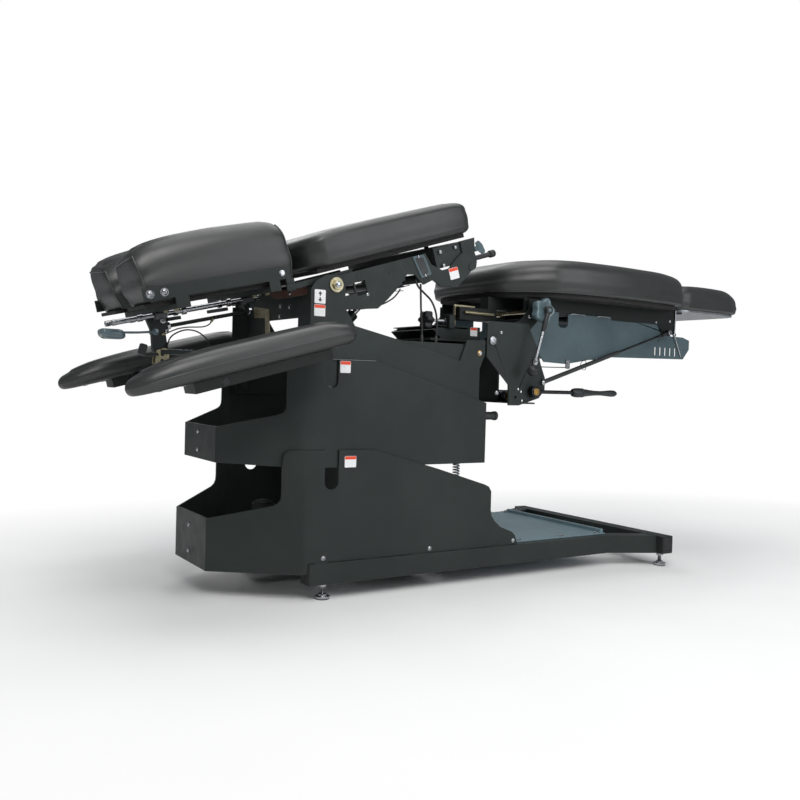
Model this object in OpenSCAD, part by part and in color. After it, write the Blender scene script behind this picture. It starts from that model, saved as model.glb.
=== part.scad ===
/* [Base frame] */
// Height of the rectangular base rails
rail_h = 49; // [40:1:60]
// Width of one base rail, side to side
rail_w = 43; // [30:1:60]
// Half width over the outer faces of the two rails
rail_half = 240; // [236:1:250]
// Underside of the rails above the floor
rail_z = 36; // [28:1:50]
// Station of the rails' head end
rail_head_x = 677; // [664:1:700]
// Station where the rails splay outward
rail_bend_x = 1608; // [1500:5:1650]
// Station of the foot end of the base
rail_foot_x = 1781; // [1740:1:1850]
// Half width over the foot crossbar
crossbar_half = 320; // [290:1:360]
// Diameter of a levelling foot disc
foot_d = 34; // [28:1:44]

/* [Telescoping column] */
// Thickness of the sheet steel side plates
plate_t = 5; // [4:0.5:5]
// Running clearance between one housing and the next
slide_gap = 0.5; // [0.4:0.1:0.8]
// Station of the crease between the lower cheeks and side plates
crease_x = 658; // [650:1:662]
// Station of the lower nose
low_nose_x = 484; // [470:1:490]
// Half width of the flat nose faces
nose_half = 104; // [90:1:115]
// Height of the lower side plate
low_plate_h = 255; // [250:1:262]
// Length of the lower side plate
low_plate_l = 634; // [620:1:650]
// Underside of the middle housing above the floor
mid_z = 300; // [296:1:304]
// Height of the middle side plate
mid_plate_h = 246; // [242:1:250]
// Length of the middle side plate
mid_plate_l = 507; // [500:1:515]
// Station of the middle nose
mid_nose_x = 501; // [498:1:510]
// Length of the top side plate
top_plate_l = 495; // [490:1:500]
// Height of the front section's pivot above the floor
pivot_z = 715; // [710:1:720]
// Station of the front section's pivot
pivot_x = 734; // [730:1:738]

/* [Front section] */
// Tilt of the chest section
chest_tilt = 17.5; // [17:0.5:18]
// Tilt of the head section
head_tilt = 13.5; // [13:0.5:14]
// Tilt of the armrests
arm_tilt = 15; // [14.5:0.5:15.5]
// Length of the chest cushion
chest_l = 476; // [460:1:480]
// Half width of the chest cushion
chest_half = 238; // [225:1:250]
// Thickness of the chest cushion
chest_t = 82; // [76:1:88]
// Length of the face cushions
head_l = 366; // [350:1:372]
// Width of one face cushion
face_w = 158; // [140:1:160]
// Gap between the two face cushions
face_gap = 68; // [66:1:90]
// Thickness of the face cushions
face_t = 142; // [120:1:146]
// Length of an armrest
arm_l = 504; // [470:1:510]
// Width of an armrest
arm_w = 106; // [90:1:108]
// Thickness of an armrest
arm_t = 56; // [46:1:60]
// Half distance between the armrests' centre lines
arm_half = 306; // [305:1:320]

/* [Leg section] */
// Length of the leg cushion
leg_l = 668; // [640:1:672]
// Half width of the leg cushion at its widest
leg_half = 272; // [250:1:285]
// Thickness of the leg cushion
leg_t = 92; // [85:1:100]
// Height of the leg frame's top above the floor
leg_z = 735; // [733:1:738]
// Length of the ankle cushion
ankle_l = 312; // [290:1:330]
// Half width of the ankle cushion
ankle_half = 200; // [180:1:215]
// Thickness of the ankle cushion
ankle_t = 76; // [70:1:82]
// Drop of the flexion axis below the leg frame's top
flex_drop = 124; // [122:1:126]
// Station of the flexion axis
flex_x = 1193; // [1191:1:1195]

/* [Hidden] */
$fn = 32;
// The stations count from a point ahead of the table; this one is moved to the middle
datum_x = 1240;
// Overrun of every cut
over = 1;
// Radial clearance of a shaft in its bore
fit = 0.05;
// Clearance between faces that pass each other
gap = 0.3;

steel = [0.16, 0.18, 0.18];
vinyl = [0.21, 0.22, 0.23];
silver = [0.75, 0.76, 0.78];
zinc = [0.80, 0.74, 0.55];
guard_blue = [0.29, 0.35, 0.37];
black = [0.07, 0.07, 0.08];

// Placing and basic shapes
module placed() translate([-datum_x, 0, 0]) children();
module both_sides() { children(); mirror([0, 1, 0]) children(); }
module plate_xz(y, t) translate([0, y + t, 0]) rotate([90, 0, 0]) linear_extrude(t) children();
module block(x, y, z) translate([x[0], y[0], z[0]]) cube([x[1] - x[0], y[1] - y[0], z[1] - z[0]]);
module bar_x(x, y, z, d) translate([x[0], y, z]) rotate([0, 90, 0]) cylinder(h = x[1] - x[0], d = d);
module bar_y(x, y, z, d) translate([x, y[0], z]) rotate([-90, 0, 0]) cylinder(h = y[1] - y[0], d = d);
module bar_z(x, y, z, d) translate([x, y, z[0]]) cylinder(h = z[1] - z[0], d = d);
module rod_to(p, q, d) {
  v = q - p;
  translate(p) rotate([0, acos(v.z / norm(v)), atan2(v.y, v.x)]) cylinder(h = norm(v), d = d);
}
module tilted(angle) translate([pivot_x, 0, pivot_z]) rotate([0, -angle, 0]) children();
function tilted_at(angle, p) = [pivot_x + p[0] * cos(angle) - p[1] * sin(angle),
  pivot_z + p[0] * sin(angle) + p[1] * cos(angle)];
function scaled(shares, l, h) = [for (s = shares) [s[0] * l, s[1] * h]];

// A tube swept through points, with the given number of sides
function unit(v) = v / norm(v);
function tangent(p, i) = unit(p[min(i + 1, len(p) - 1)] - p[max(i - 1, 0)]);
function ring_side(t) = unit(cross(t, abs(t.y) > 0.8 ? [1, 0, 0] : [0, 1, 0]));
module swept(p, d, n) {
  m = len(p);
  points = [for (i = [0:m - 1]) let (t = tangent(p, i), a = ring_side(t), b = cross(t, a))
    for (k = [0:n - 1]) p[i] + (a * cos(360 * k / n) + b * sin(360 * k / n)) * d / 2];
  walls = [for (i = [0:m - 2], k = [0:n - 1]) let (a = i * n + k, b = i * n + (k + 1) % n)
    each [[a, b, b + n], [a, b + n, a + n]]];
  ends = [for (k = [1:n - 2]) each [[0, k + 1, k], [(m - 1) * n, (m - 1) * n + k, (m - 1) * n + k + 1]]];
  polyhedron(points, concat([for (w = walls) [w[2], w[1], w[0]]], [for (e = ends) [e[2], e[1], e[0]]]));
}

// A padded cushion: rings of one plan outline, drawn in below, crowned above
pad_rings = [[0.86, 0], [0.95, 0.03], [0.985, 0.14], [0.97, 0.3], [0.985, 0.46], [1, 0.6], [0.985, 0.74],
  [0.93, 0.87], [0.84, 0.945], [0.66, 0.98], [0.4, 0.995]];
pad_n = 36;
function pad_plan(a, width_table) = let (s = (1 - cos(a)) / 2)
  [s, (a <= 180 ? 1 : -1) * lookup(s, width_table)];
function pad_inset(r, soft) = 1 - (1 - r) * soft;
function pad_point(r, p, l, w, t, crown_table, soft, lean) =
  let (side = r[1] > 0.9 ? [1, 1] : soft,
       x = 0.5 + (p[0] - 0.5) * pad_inset(r[0], side[0]),
       y = p[1] * pad_inset(r[0], side[1]),
       inner = max(0, (y * sign(lean) + 1) / 2))
  [x * l, y * w / 2, r[1] * t * lookup(x, crown_table) * (1 - abs(lean) * r[1] * inner * inner)];
module pad(l, w, t, width_table, crown_table, soft = [1, 1], lean = 0) {
  rings = len(pad_rings);
  plan = [for (k = [0:pad_n - 1]) pad_plan(k * 360 / pad_n, width_table)];
  points = [for (r = pad_rings, p = plan) pad_point(r, p, l, w, t, crown_table, soft, lean)];
  low = [l / 2, 0, 0];
  high = [l / 2, 0, t * lookup(0.5, crown_table) * (1 - abs(lean) / 4)];
  last = (rings - 1) * pad_n;
  walls = [for (i = [0:rings - 2], k = [0:pad_n - 1])
    let (a = i * pad_n + k, b = i * pad_n + (k + 1) % pad_n)
    each [[a, b, b + pad_n], [a, b + pad_n, a + pad_n]]];
  under = [for (k = [0:pad_n - 1]) [len(points), (k + 1) % pad_n, k]];
  over_top = [for (k = [0:pad_n - 1]) [len(points) + 1, last + k, last + (k + 1) % pad_n]];
  polyhedron(concat(points, [low, high]), concat(walls, under, over_top));
}

// Base rails: two rectangular tubes that splay at the foot end
rail_top = rail_z + rail_h;
tube_wall = 3;
cross_x = rail_foot_x - rail_w;
splay_slope = (crossbar_half - rail_half) / (rail_foot_x - rail_bend_x);
splay_half = rail_half + splay_slope * (cross_x - rail_bend_x);
splay_w = rail_w * sqrt(1 + splay_slope * splay_slope);
module base_rails() color(steel) placed() both_sides() {
  difference() {
    block([rail_head_x, rail_bend_x], [rail_half - rail_w, rail_half], [rail_z, rail_top]);
    block([rail_head_x - over, rail_bend_x - tube_wall],
      [rail_half - rail_w + tube_wall, rail_half - tube_wall], [rail_z + tube_wall, rail_top - tube_wall]);
  }
  translate([0, 0, rail_z]) linear_extrude(rail_h)
    polygon([[rail_bend_x, rail_half - rail_w], [rail_bend_x, rail_half],
      [cross_x, splay_half], [cross_x, splay_half - splay_w]]);
}

// Foot crossbar: rectangular tube across the splayed ends, with a plug in each end
plug_w = 12;
module foot_crossbar() color(steel) placed() {
  difference() {
    block([cross_x, rail_foot_x], [-crossbar_half, crossbar_half], [rail_z, rail_top]);
    block([cross_x + tube_wall, rail_foot_x - tube_wall], [-crossbar_half - over, crossbar_half + over],
      [rail_z + tube_wall, rail_top - tube_wall]);
  }
  both_sides() block([cross_x + tube_wall, rail_foot_x - tube_wall], [crossbar_half - plug_w, crossbar_half],
    [rail_z + tube_wall, rail_top - tube_wall]);
}

// Floor plate: folded sheet across the rails behind the column
floor_t = 3;
floor_head_x = 1130;
floor_foot_x = 1620;
floor_half = 218;
fold_w = 10;
module floor_plate() color(guard_blue) placed() {
  block([floor_head_x, floor_foot_x], [-floor_half, floor_half], [rail_top, rail_top + floor_t]);
  block([floor_foot_x - fold_w, floor_foot_x], [-floor_half + fold_w, floor_half - fold_w],
    [rail_top + floor_t, rail_top + floor_t + fold_w]);
}

// Levelling feet: disc, stud and lock nut under each corner
foot_disc_t = 8;
foot_boss_d = 20;
foot_boss_t = 4;
stud_d = 10;
nut_t = 8;
nut_d = 19;
foot_head_off = 45;
foot_side_off = 26;
foot_places = [[rail_head_x + foot_head_off, rail_half - rail_w / 2],
  [rail_foot_x - rail_w / 2, crossbar_half - foot_side_off]];
module levelling_foot() {
  cylinder(h = foot_disc_t, d = foot_d);
  cylinder(h = foot_disc_t + foot_boss_t, d = foot_boss_d);
  cylinder(h = rail_z, d = stud_d);
  translate([0, 0, rail_z - nut_t]) cylinder(h = nut_t, d = nut_d, $fn = 6);
}
module levelling_feet() color(silver) placed() both_sides()
  for (p = foot_places) translate([p[0], p[1], 0]) levelling_foot();

// Base bolts: domed heads on the rails and on the foot of the side plates
dome_d = 14;
dome_t = 5;
rail_bolt_shares = [0.07, 0.53, 0.93];
plate_bolt_shares = [0.087, 0.546, 0.96];
plate_bolt_z = 11;
dome_shares = [[0, 0], [1, 0], [1, 0.25], [0.86, 0.6], [0.55, 0.88], [0.2, 0.99], [0, 1]];
module dome() rotate_extrude($fn = 20) polygon(scaled(dome_shares, dome_d / 2, dome_t));
module base_bolts() color(silver) placed() both_sides() {
  for (s = rail_bolt_shares)
    translate([low_foot_x + s * (floor_foot_x - low_foot_x), floor_half - dome_d, rail_top + floor_t])
      dome();
  for (s = plate_bolt_shares)
    translate([crease_x + s * low_plate_l, low_half, rail_top + plate_bolt_z]) rotate([-90, 0, 0]) dome();
}

// Housing shapes shared by the lower and middle stages
rail_ledge = 5;
low_half = rail_half - rail_ledge;
mid_half = low_half - plate_t - slide_gap;
top_half = mid_half - plate_t - slide_gap;
chest_plate_half = top_half - plate_t - slide_gap;
tower_half = top_half - plate_t - slide_gap - slide_gap;
low_foot_x = crease_x + low_plate_l;
low_floor_z = 62;
low_top_z = rail_top + low_plate_h;
low_plate_shares = [[0, 0], [0, 1], [0.27, 1], [0.295, 0.992], [0.495, 0.858], [0.571, 0.806], [0.805, 0.63],
  [0.828, 0.605], [0.841, 0.553], [0.841, 0.372], [0.846, 0.31], [0.862, 0.255], [0.891, 0.194],
  [0.932, 0.154], [0.955, 0.13], [0.97, 0.095], [0.985, 0]];
low_cheek_shares = [[0, 0], [0, 0.424], [0.695, 0.548], [0.75, 0.57], [0.78, 0.6], [0.787, 0.64],
  [0.787, 0.93], [0.8, 0.97], [0.84, 0.995], [0.88, 1], [1, 1], [1, 0]];
module cheek_plan(nose_x, crease, half) {
  k = (half - nose_half) / (crease - nose_x);
  s = plate_t * sqrt(1 + k * k);
  difference() {
    polygon([[nose_x, -nose_half], [nose_x, nose_half], [crease, half], [crease, -half]]);
    polygon([[nose_x + plate_t, -nose_half - k * plate_t + s],
      [nose_x + plate_t, nose_half + k * plate_t - s], [crease + over, half + k * over - s],
      [crease + over, -half - k * over + s]]);
  }
}
module cheeks(nose_x, crease, half, z0, h, shares) intersection() {
  translate([0, 0, z0]) linear_extrude(h) cheek_plan(nose_x, crease, half);
  translate([nose_x, 0, z0]) plate_xz(-half - over, 2 * half + 2 * over)
    polygon(scaled(shares, crease - nose_x, h));
}
module notch(x, z, w, top, half) both_sides() {
  bar_y(x, [half - plate_t - over, half + over], z, w);
  block([x - w / 2, x + w / 2], [half - plate_t - over, half + over], [z, top + over]);
}

// Lower housing: welded sheet box on the base rails, open at the top
low_notch_x = 730;
low_notch_z = 268;
low_notch_w = 35;
module lower_housing() color(steel) placed() difference() {
  union() {
    cheeks(low_nose_x, crease_x, low_half, low_floor_z, low_top_z - low_floor_z, low_cheek_shares);
    both_sides() translate([crease_x, 0, rail_top]) plate_xz(low_half - plate_t, plate_t)
      polygon(scaled(low_plate_shares, low_plate_l, low_plate_h));
    both_sides() block([crease_x, rail_head_x - gap], [low_half - plate_t, low_half],
      [low_floor_z, rail_top + over]);
  }
  notch(low_notch_x, low_notch_z, low_notch_w, low_top_z, low_half);
}

// Lower ties: base channel under the lift and spacer tubes between the side plates
channel_t = 6;
channel_x = [860, 1060];
tongue_head_x = 640;
tongue_half = 45;
tie_d = 20;
low_tie_x = [760, 1130];
low_tie_z = 122;
module lower_ties() color(steel) placed() {
  block(channel_x, [-rail_half + rail_w, rail_half - rail_w], [rail_z, rail_z + channel_t]);
  block([tongue_head_x, channel_x[0]], [-tongue_half, tongue_half], [rail_z, rail_z + channel_t]);
  for (x = low_tie_x) bar_y(x, [-low_half + plate_t, low_half - plate_t], low_tie_z, tie_d);
}

// Lift motor: gear case and round motor on the base channel, shaft cover to the lift tube
lift_x = 960;
lift_tube_d = 90;
motor_x = 668;
motor_d = 56;
motor_top_z = 196;
motor_edge = 4;
gear_case = [84, 76, 50];
shaft_cover_d = 26;
shaft_z = 66;
module lift_motor() color([0.32, 0.33, 0.34]) placed() {
  translate([motor_x - motor_d / 2, -gear_case.y / 2, rail_z + channel_t]) cube(gear_case);
  bar_z(motor_x, 0, [rail_z + channel_t, motor_top_z - motor_edge], motor_d);
  bar_z(motor_x, 0, [rail_z + channel_t, motor_top_z], motor_d - 2 * motor_edge);
  bar_x([motor_x, lift_x - lift_tube_d / 2 - gap], 0, shaft_z, shaft_cover_d);
}

// Lift: three nested tubes, one for each stage of the column
lift_tube_top = 190;
lift_wall = 5;
middle_tube_d = lift_tube_d - 2 * lift_wall - 2 * fit;
middle_tube_wall = 8;
middle_tube_z = [156, 345];
lift_rod_d = middle_tube_d - 2 * middle_tube_wall - 2 * fit;
lift_rod_low = 298;
module lift_tube() color(steel) placed() difference() {
  bar_z(lift_x, 0, [rail_z + channel_t, lift_tube_top], lift_tube_d);
  bar_z(lift_x, 0, [rail_z + 2 * channel_t, lift_tube_top + over], lift_tube_d - 2 * lift_wall);
}
module middle_tube() color(silver) placed() difference() {
  bar_z(lift_x, 0, middle_tube_z, middle_tube_d);
  bar_z(lift_x, 0, middle_tube_z + [-over, over], middle_tube_d - 2 * middle_tube_wall);
}
module lift_rod() color(silver) placed()
  bar_z(lift_x, 0, [lift_rod_low, shelf_z], lift_rod_d);

// Middle housing: sliding sheet box of the first lift stage
crease_step = 6;
mid_crease_x = crease_x + crease_step;
mid_top_z = mid_z + mid_plate_h;
mid_plate_shares = [[0, 0], [0, 1], [0.34, 1], [0.375, 0.99], [0.479, 0.927], [1, 0.618], [1, 0]];
mid_cheek_shares = [[0, 0.024], [0, 0.35], [0.7, 0.48], [0.755, 0.5], [0.785, 0.53], [0.791, 0.57],
  [0.791, 0.91], [0.803, 0.96], [0.85, 0.995], [0.89, 1], [1, 1], [1, 0]];
mid_notch_x = 728;
mid_notch_z = 496;
mid_notch_w = 30;
module middle_housing() color(steel) placed() difference() {
  union() {
    cheeks(mid_nose_x, mid_crease_x, mid_half, mid_z, mid_plate_h, mid_cheek_shares);
    both_sides() translate([mid_crease_x, 0, mid_z]) plate_xz(mid_half - plate_t, plate_t)
      polygon(scaled(mid_plate_shares, mid_plate_l, mid_plate_h));
  }
  notch(mid_notch_x, mid_notch_z, mid_notch_w, mid_top_z, mid_half);
}

// Middle ties: lift yoke plate and spacer tubes between the middle side plates
yoke_x = [900, 1020];
yoke_rise = 5;
yoke_t = 20;
mid_tie_x = [760, 1103];
mid_tie_rise = 12;
module middle_ties() color(steel) placed() {
  difference() {
    block(yoke_x, [-mid_half + plate_t, mid_half - plate_t],
      [mid_z + yoke_rise, mid_z + yoke_rise + yoke_t]);
    bar_z(lift_x, 0, [mid_z, mid_z + 2 * yoke_t], middle_tube_d);
  }
  for (x = mid_tie_x) bar_y(x, [-mid_half + plate_t, mid_half - plate_t], mid_z + mid_tie_rise, tie_d);
}

// Cord socket: round inlet for the mains lead on a bracket at the middle housing's foot end
socket_y = -175;
socket_z = 417;
socket_d = 21;
socket_bore = 13;
socket_l = 74;
socket_neck = 6;
socket_plate_w = 12;
socket_plate_h = 64;
socket_arm_h = 26;
socket_inner_w = 35;
mid_foot_x = mid_crease_x + mid_plate_l;
module cord_socket() color(black) placed() {
  block([mid_foot_x - socket_plate_w, mid_foot_x], [-mid_half + plate_t, socket_y],
    [socket_z - socket_plate_h / 2, socket_z - socket_plate_h / 2 + socket_arm_h]);
  block([mid_foot_x - socket_plate_w, mid_foot_x],
    [socket_y + socket_d - socket_inner_w, socket_y + socket_d],
    [socket_z - socket_plate_h / 2, socket_z + socket_plate_h / 2]);
  difference() {
    bar_x([mid_foot_x, mid_foot_x + socket_l], socket_y, socket_z, socket_d);
    bar_x([mid_foot_x + socket_neck, mid_foot_x + socket_l + over], socket_y, socket_z, socket_bore);
  }
}

// Stage spring: buffer spring under the rear middle tie
coil_d = 19;
coil_wire = 3.6;
coil_turns = 5;
coil_z = [262, 302];
coil_y = -200;
coil_r = (coil_d - coil_wire) / 2;
coil_rings = 8 * coil_turns;
coil_rise = (coil_z[1] - coil_z[0] - 2 * coil_wire) / coil_turns;
coil_end_z = mid_z + mid_tie_rise - sqrt(pow(tie_d / 2, 2) - pow(coil_r - coil_wire / 2, 2));
coil_path = concat(
  [[coil_r, -coil_wire, coil_z[0]]],
  [for (i = [0:coil_rings]) let (a = i * 360 / 8)
    [coil_r * cos(a), coil_r * sin(a), coil_z[0] + coil_wire + coil_rise * i / 8]],
  [[coil_r, coil_wire / 2, coil_end_z - coil_wire], [coil_r, coil_wire / 2, coil_end_z]]);
coil_gaps = [for (i = [0:len(coil_path) - 1], j = [i + 5:1:len(coil_path) - 1])
  norm(coil_path[i] - coil_path[j]) - coil_wire];
echo(least_spring_gap = min(coil_gaps));
module stage_spring() color(silver) placed() translate([mid_tie_x[1], coil_y, 0])
  swept(coil_path, coil_wire, 6);

// Top housing: side plates of the second stage, with the front pivot ears
top_rise = 154;
top_z = mid_z + top_rise;
top_head_x = 671;
ear_r = 24;
top_h = pivot_z + ear_r - top_z;
top_plate_shares = [[0, 0], [0, 0.87], [0.03, 0.94], [0.075, 0.985], [0.127, 1], [0.16, 0.985],
  [0.176, 0.94], [0.178, 0.74], [0.232, 0.6], [0.592, 0.467], [0.756, 0.4], [0.842, 0.355],
  [0.885, 0.541], [0.997, 0.548],
  [1, 0.54], [1, 0.42], [0.968, 0.292], [0.968, 0]];
module top_housing() color(steel) placed() both_sides() difference() {
  translate([top_head_x, 0, top_z]) plate_xz(top_half - plate_t, plate_t)
    polygon(scaled(top_plate_shares, top_plate_l, top_h));
  bar_y(pivot_x, [top_half - plate_t - over, top_half + over], pivot_z, pivot_d);
  bar_y(strut_foot[0], [top_half - plate_t - over, top_half + over], strut_foot[1], strut_bar_d);
}

// Front panel: cross plate between the top side plates, with its bracket
panel_head_off = 5;
panel_t = 5;
panel_drop = 9;
panel_z = [598, pivot_z - panel_drop];
panel_leg_z = 470;
panel_leg_y = [150, 206];
panel_cut_y = [-150, 40];
panel_cut_rise = 42;
flange_w = 40;
flange_t = 4;
panel_x = top_head_x + panel_head_off;
module front_panel() color(steel) placed() {
  difference() {
    block([panel_x, panel_x + panel_t], [-top_half + plate_t, top_half - plate_t], panel_z);
    block([panel_x - over, panel_x + panel_t + over], panel_cut_y,
      [panel_z[0] - over, panel_z[0] + panel_cut_rise]);
  }
  block([panel_x, panel_x + panel_t], panel_leg_y, [panel_leg_z, panel_z[0]]);
  block([panel_x - flange_t, panel_x], panel_leg_y, [panel_z[0], panel_z[0] + 2 * flange_w]);
  block([panel_x - flange_w, panel_x - flange_t], [panel_leg_y[0], panel_leg_y[0] + flange_t],
    [panel_z[0], panel_z[0] + 2 * flange_w]);
  both_sides() block([panel_x + panel_t, panel_x + panel_t + flange_w / 2],
    [top_half - plate_t - flange_t, top_half - plate_t], [panel_z[0], panel_z[0] + flange_w]);
}

// Top shelf: cross plate with side flanges; the lift rod and the swivel base stand on it
shelf_x = [920, 1100];
shelf_t = 6;
shelf_drop = 19;
flex_z = leg_z - flex_drop;
shelf_z = flex_z - shelf_drop;
shelf_flange_h = 44;
module top_shelf() color(steel) placed() {
  block(shelf_x, [-top_half + plate_t, top_half - plate_t], [shelf_z, shelf_z + shelf_t]);
  both_sides() block(shelf_x, [top_half - plate_t - flange_t, top_half - plate_t],
    [shelf_z - shelf_flange_h, shelf_z]);
}

// Pivot pins: bolts that carry the front section, and the cross bar that carries the tilt strut
pivot_d = 16;
pivot_in = 16;
washer_d = 34;
washer_t = 3;
hex_d = 22;
hex_t = 6;
strut_foot = [790, 552];
strut_bar_d = 16;
module pivot_pins() color(zinc) placed() {
  both_sides() {
    bar_y(pivot_x, [top_half - pivot_in, top_half + washer_t], pivot_z, pivot_d);
    bar_y(pivot_x, [top_half, top_half + washer_t], pivot_z, washer_d);
    translate([pivot_x, top_half + washer_t, pivot_z]) rotate([-90, 0, 0])
      cylinder(h = hex_t, d = hex_d, $fn = 6);
  }
  bar_y(strut_foot[0], [-top_half, top_half], strut_foot[1], strut_bar_d);
}

// Swivel base: plate on the top shelf that carries the swivelling leg section
swivel_x = 1250;
swivel_half = 110;
swivel_head_x = 1069;
swivel_foot_x = 1215;
swivel_t = 6;
race_d = 90;
race_t = 5.7;
spigot_d = 60;
swivel_z = shelf_z + shelf_t;
module swivel_base() color(steel) placed() {
  block([swivel_head_x, swivel_foot_x], [-swivel_half, swivel_half], [swivel_z, swivel_z + swivel_t]);
  block([swivel_foot_x, swivel_x], [-race_d / 2, race_d / 2], [swivel_z, swivel_z + swivel_t]);
  bar_z(swivel_x, 0, [swivel_z, swivel_z + swivel_t + race_t], race_d);
  bar_z(swivel_x, 0, [swivel_z, swivel_z + 2 * swivel_t + race_t], spigot_d);
}

// Swivel saddle: turning plate with its lock box, and the web that carries the tower
saddle_z = swivel_z + swivel_t + race_t + gap;
saddle_foot_x = 1306;
box_x = [1086, 1200];
box_half = 104;
box_h = 34;
box_slant = 26;
module swivel_saddle() color(steel) placed() {
  difference() {
    union() {
      block([swivel_head_x + swivel_t, saddle_foot_x], [-swivel_half, swivel_half],
        [saddle_z, saddle_z + swivel_t]);
      bar_z(swivel_x, 0, [saddle_z, saddle_z + 3 * swivel_t], spigot_d + 3 * swivel_t);
    }
    bar_z(swivel_x, 0, [saddle_z - over, saddle_z + 2 * swivel_t], spigot_d + 2 * fit);
  }
  block([saddle_foot_x - swivel_t, saddle_foot_x], [-swivel_half, swivel_half],
    [tower_floor, saddle_z + swivel_t]);
  plate_xz(-box_half, 2 * box_half) polygon([[box_x[0] + box_slant, saddle_z],
    [box_x[0] + box_slant, saddle_z + swivel_t],
    [box_x[0], saddle_z + box_h - swivel_t], [box_x[0] + box_slant / 2, saddle_z + box_h],
    [box_x[1], saddle_z + box_h], [box_x[1], saddle_z]]);
  difference() {
    union() {
      block(star_bracket_x, [star_y - star_bracket_w / 2, star_y + star_bracket_w / 2],
        [saddle_z + box_h, star_bracket_top]);
      block(star_bracket_x, [-box_half, star_y + star_bracket_w / 2],
        [saddle_z + box_h - swivel_t, star_bracket_top]);
    }
    bar_x(star_bracket_x + [-over, over], star_y, star_z, star_stud_d + 2 * fit);
  }
}

// Tower plates: side plates of the flexion tower, with bores for its pins
tower_off = 17;
tower_l = 199;
tower_top = 50;
tower_h = 215;
tower_z = flex_z + tower_top - tower_h;
tower_x = flex_x - tower_off;
tower_shares = [[0, 0.581], [0, 0.972], [0.04, 1], [0.673, 1], [0.849, 0.716], [0.91, 0.53], [1, 0.344],
  [1, 0.195], [0.9, 0.093], [0.553, 0], [0.382, 0], [0.372, 0.251]];
tower_holes = [[0.55, 0.2], [0.6, 0.17], [0.5, 0.1], [0.62, 0.06]];
tower_hole_d = 7;
flex_pin_d = 16;
low_strut_off = [173, -107];
low_strut = [flex_x + low_strut_off[0], flex_z + low_strut_off[1]];
strut_pin_d = 8;
upper_pin_d = 6;
hand_off = [137, -128];
hand_at = [flex_x + hand_off[0], flex_z + hand_off[1]];
hand_pin_d = 12;
module tower_plates() color(steel) placed() both_sides() difference() {
  translate([tower_x, 0, tower_z]) plate_xz(tower_half - plate_t, plate_t)
    polygon(scaled(tower_shares, tower_l, tower_h));
  bar_y(flex_x, [tower_half - plate_t - over, tower_half + over], flex_z, flex_pin_d);
  bar_y(low_strut[0], [tower_half - plate_t - over, tower_half + over], low_strut[1], strut_pin_d);
  bar_y(hand_at[0], [tower_half - plate_t - over, tower_half + over], hand_at[1], hand_pin_d);
  for (s = tower_holes) bar_y(tower_x + s[0] * tower_l,
    [tower_half - plate_t - over, tower_half + over], tower_z + s[1] * tower_h, tower_hole_d);
}

// Tower shelf: bottom cross plate and roller shaft between the tower plates
tower_shelf_x = [1296, 1346];
tower_shelf_t = 4;
tower_floor = tower_z + 2 * tower_shelf_t;
roller_d = 30;
roller_w = 34;
roller_y = -128;
module tower_shelf() color(steel) placed() {
  block(tower_shelf_x, [-tower_half + plate_t, tower_half - plate_t],
    [tower_floor - tower_shelf_t, tower_floor]);
  translate([tower_shelf_x[1] - roller_d * 2 / 3, 0, tower_floor + roller_d / 2 + gap]) {
    bar_y(0, [-tower_half + plate_t, tower_half - plate_t], 0, roller_d / 2);
    for (i = [0:1]) translate([0, roller_y + i * (roller_w + over), 0]) bar_y(0, [0, roller_w], 0, roller_d);
  }
}

// Flexion pins: shoulder bolts of the flexion hinge and the lower strut pin
flex_head_t = 3.5;
flex_head_d = 22;
ear_half = 206;
ear_t = 5;
strut_y = -203;
module flexion_pins() color(silver) placed() {
  both_sides() {
    bar_y(flex_x, [ear_half - 2 * ear_t, tower_half], flex_z, flex_pin_d);
    bar_y(flex_x, [tower_half, tower_half + flex_head_t], flex_z, flex_head_d);
  }
  bar_y(low_strut[0], [-tower_half - flex_head_t, strut_y + strut_d / 2], low_strut[1], strut_pin_d);
}

// Hand lever: shaft and moulded grip that turn on the tower's outer face
hand_boss_d = 30;
hand_boss_w = 18;
lever_y = -tower_half - gap - hand_boss_w / 2;
hand_shaft_d = 10;
hand_shaft_l = 120;
grip_l = 168;
grip_shares = [[0, 0], [0, 0.55], [0.05, 0.9], [0.2, 1], [0.35, 0.7], [0.55, 0.5], [0.75, 0.55], [0.92, 0.7],
  [1, 0.45], [1, 0]];
grip_d = 26;
module hand_lever() color(black) placed() translate([hand_at[0], 0, hand_at[1]]) {
  bar_y(0, [-tower_half - gap - hand_boss_w, -tower_half - gap], 0, hand_boss_d);
  bar_y(0, [-tower_half - gap, -tower_half + plate_t], 0, hand_pin_d - 2 * fit);
  bar_x([0, hand_boss_d / 2 + hand_shaft_l + over], lever_y, 0, hand_shaft_d);
  translate([hand_boss_d / 2 + hand_shaft_l, lever_y, 0]) rotate([0, 90, 0])
    rotate_extrude() polygon([for (s = grip_shares) [s[1] * grip_d / 2, s[0] * grip_l]]);
}

// Chest frame: side plates of the chest section, its neck arms and head hinge pins
chest_plate_off = [-25, -83];
chest_plate_l = 443;
chest_plate_h = 110;
chest_plate_shares = [[0, 0.72], [0, 0.927], [0.648, 0.927], [0.67, 0.664], [0.734, 0.473], [0.783, 0.473],
  [0.847, 0.645], [0.896, 0.736], [0.896, 1], [1, 1], [0.964, 0.382], [0.894, 0.191], [0.808, 0.018],
  [0.697, 0.155], [0.659, 0.318], [0.594, 0.273], [0.573, 0.382], [0.551, 0.536], [0.501, 0.582],
  [0.449, 0.409], [0.345, 0.173], [0.273, 0.045], [0.054, 0.236]];
window_shares = [[0.097, 0.163, 0.48, 0.675], [0.172, 0.235, 0.41, 0.7]];
neck_u = [-112, 60];
neck_v = [13, 26];
neck_t = 6;
neck_half = 206;
head_hinge = [-98, 19.5];
head_hinge_d = 10;
knob_lug_u = [170, 192];
knob_lug_v = [-32, -26];
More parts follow.
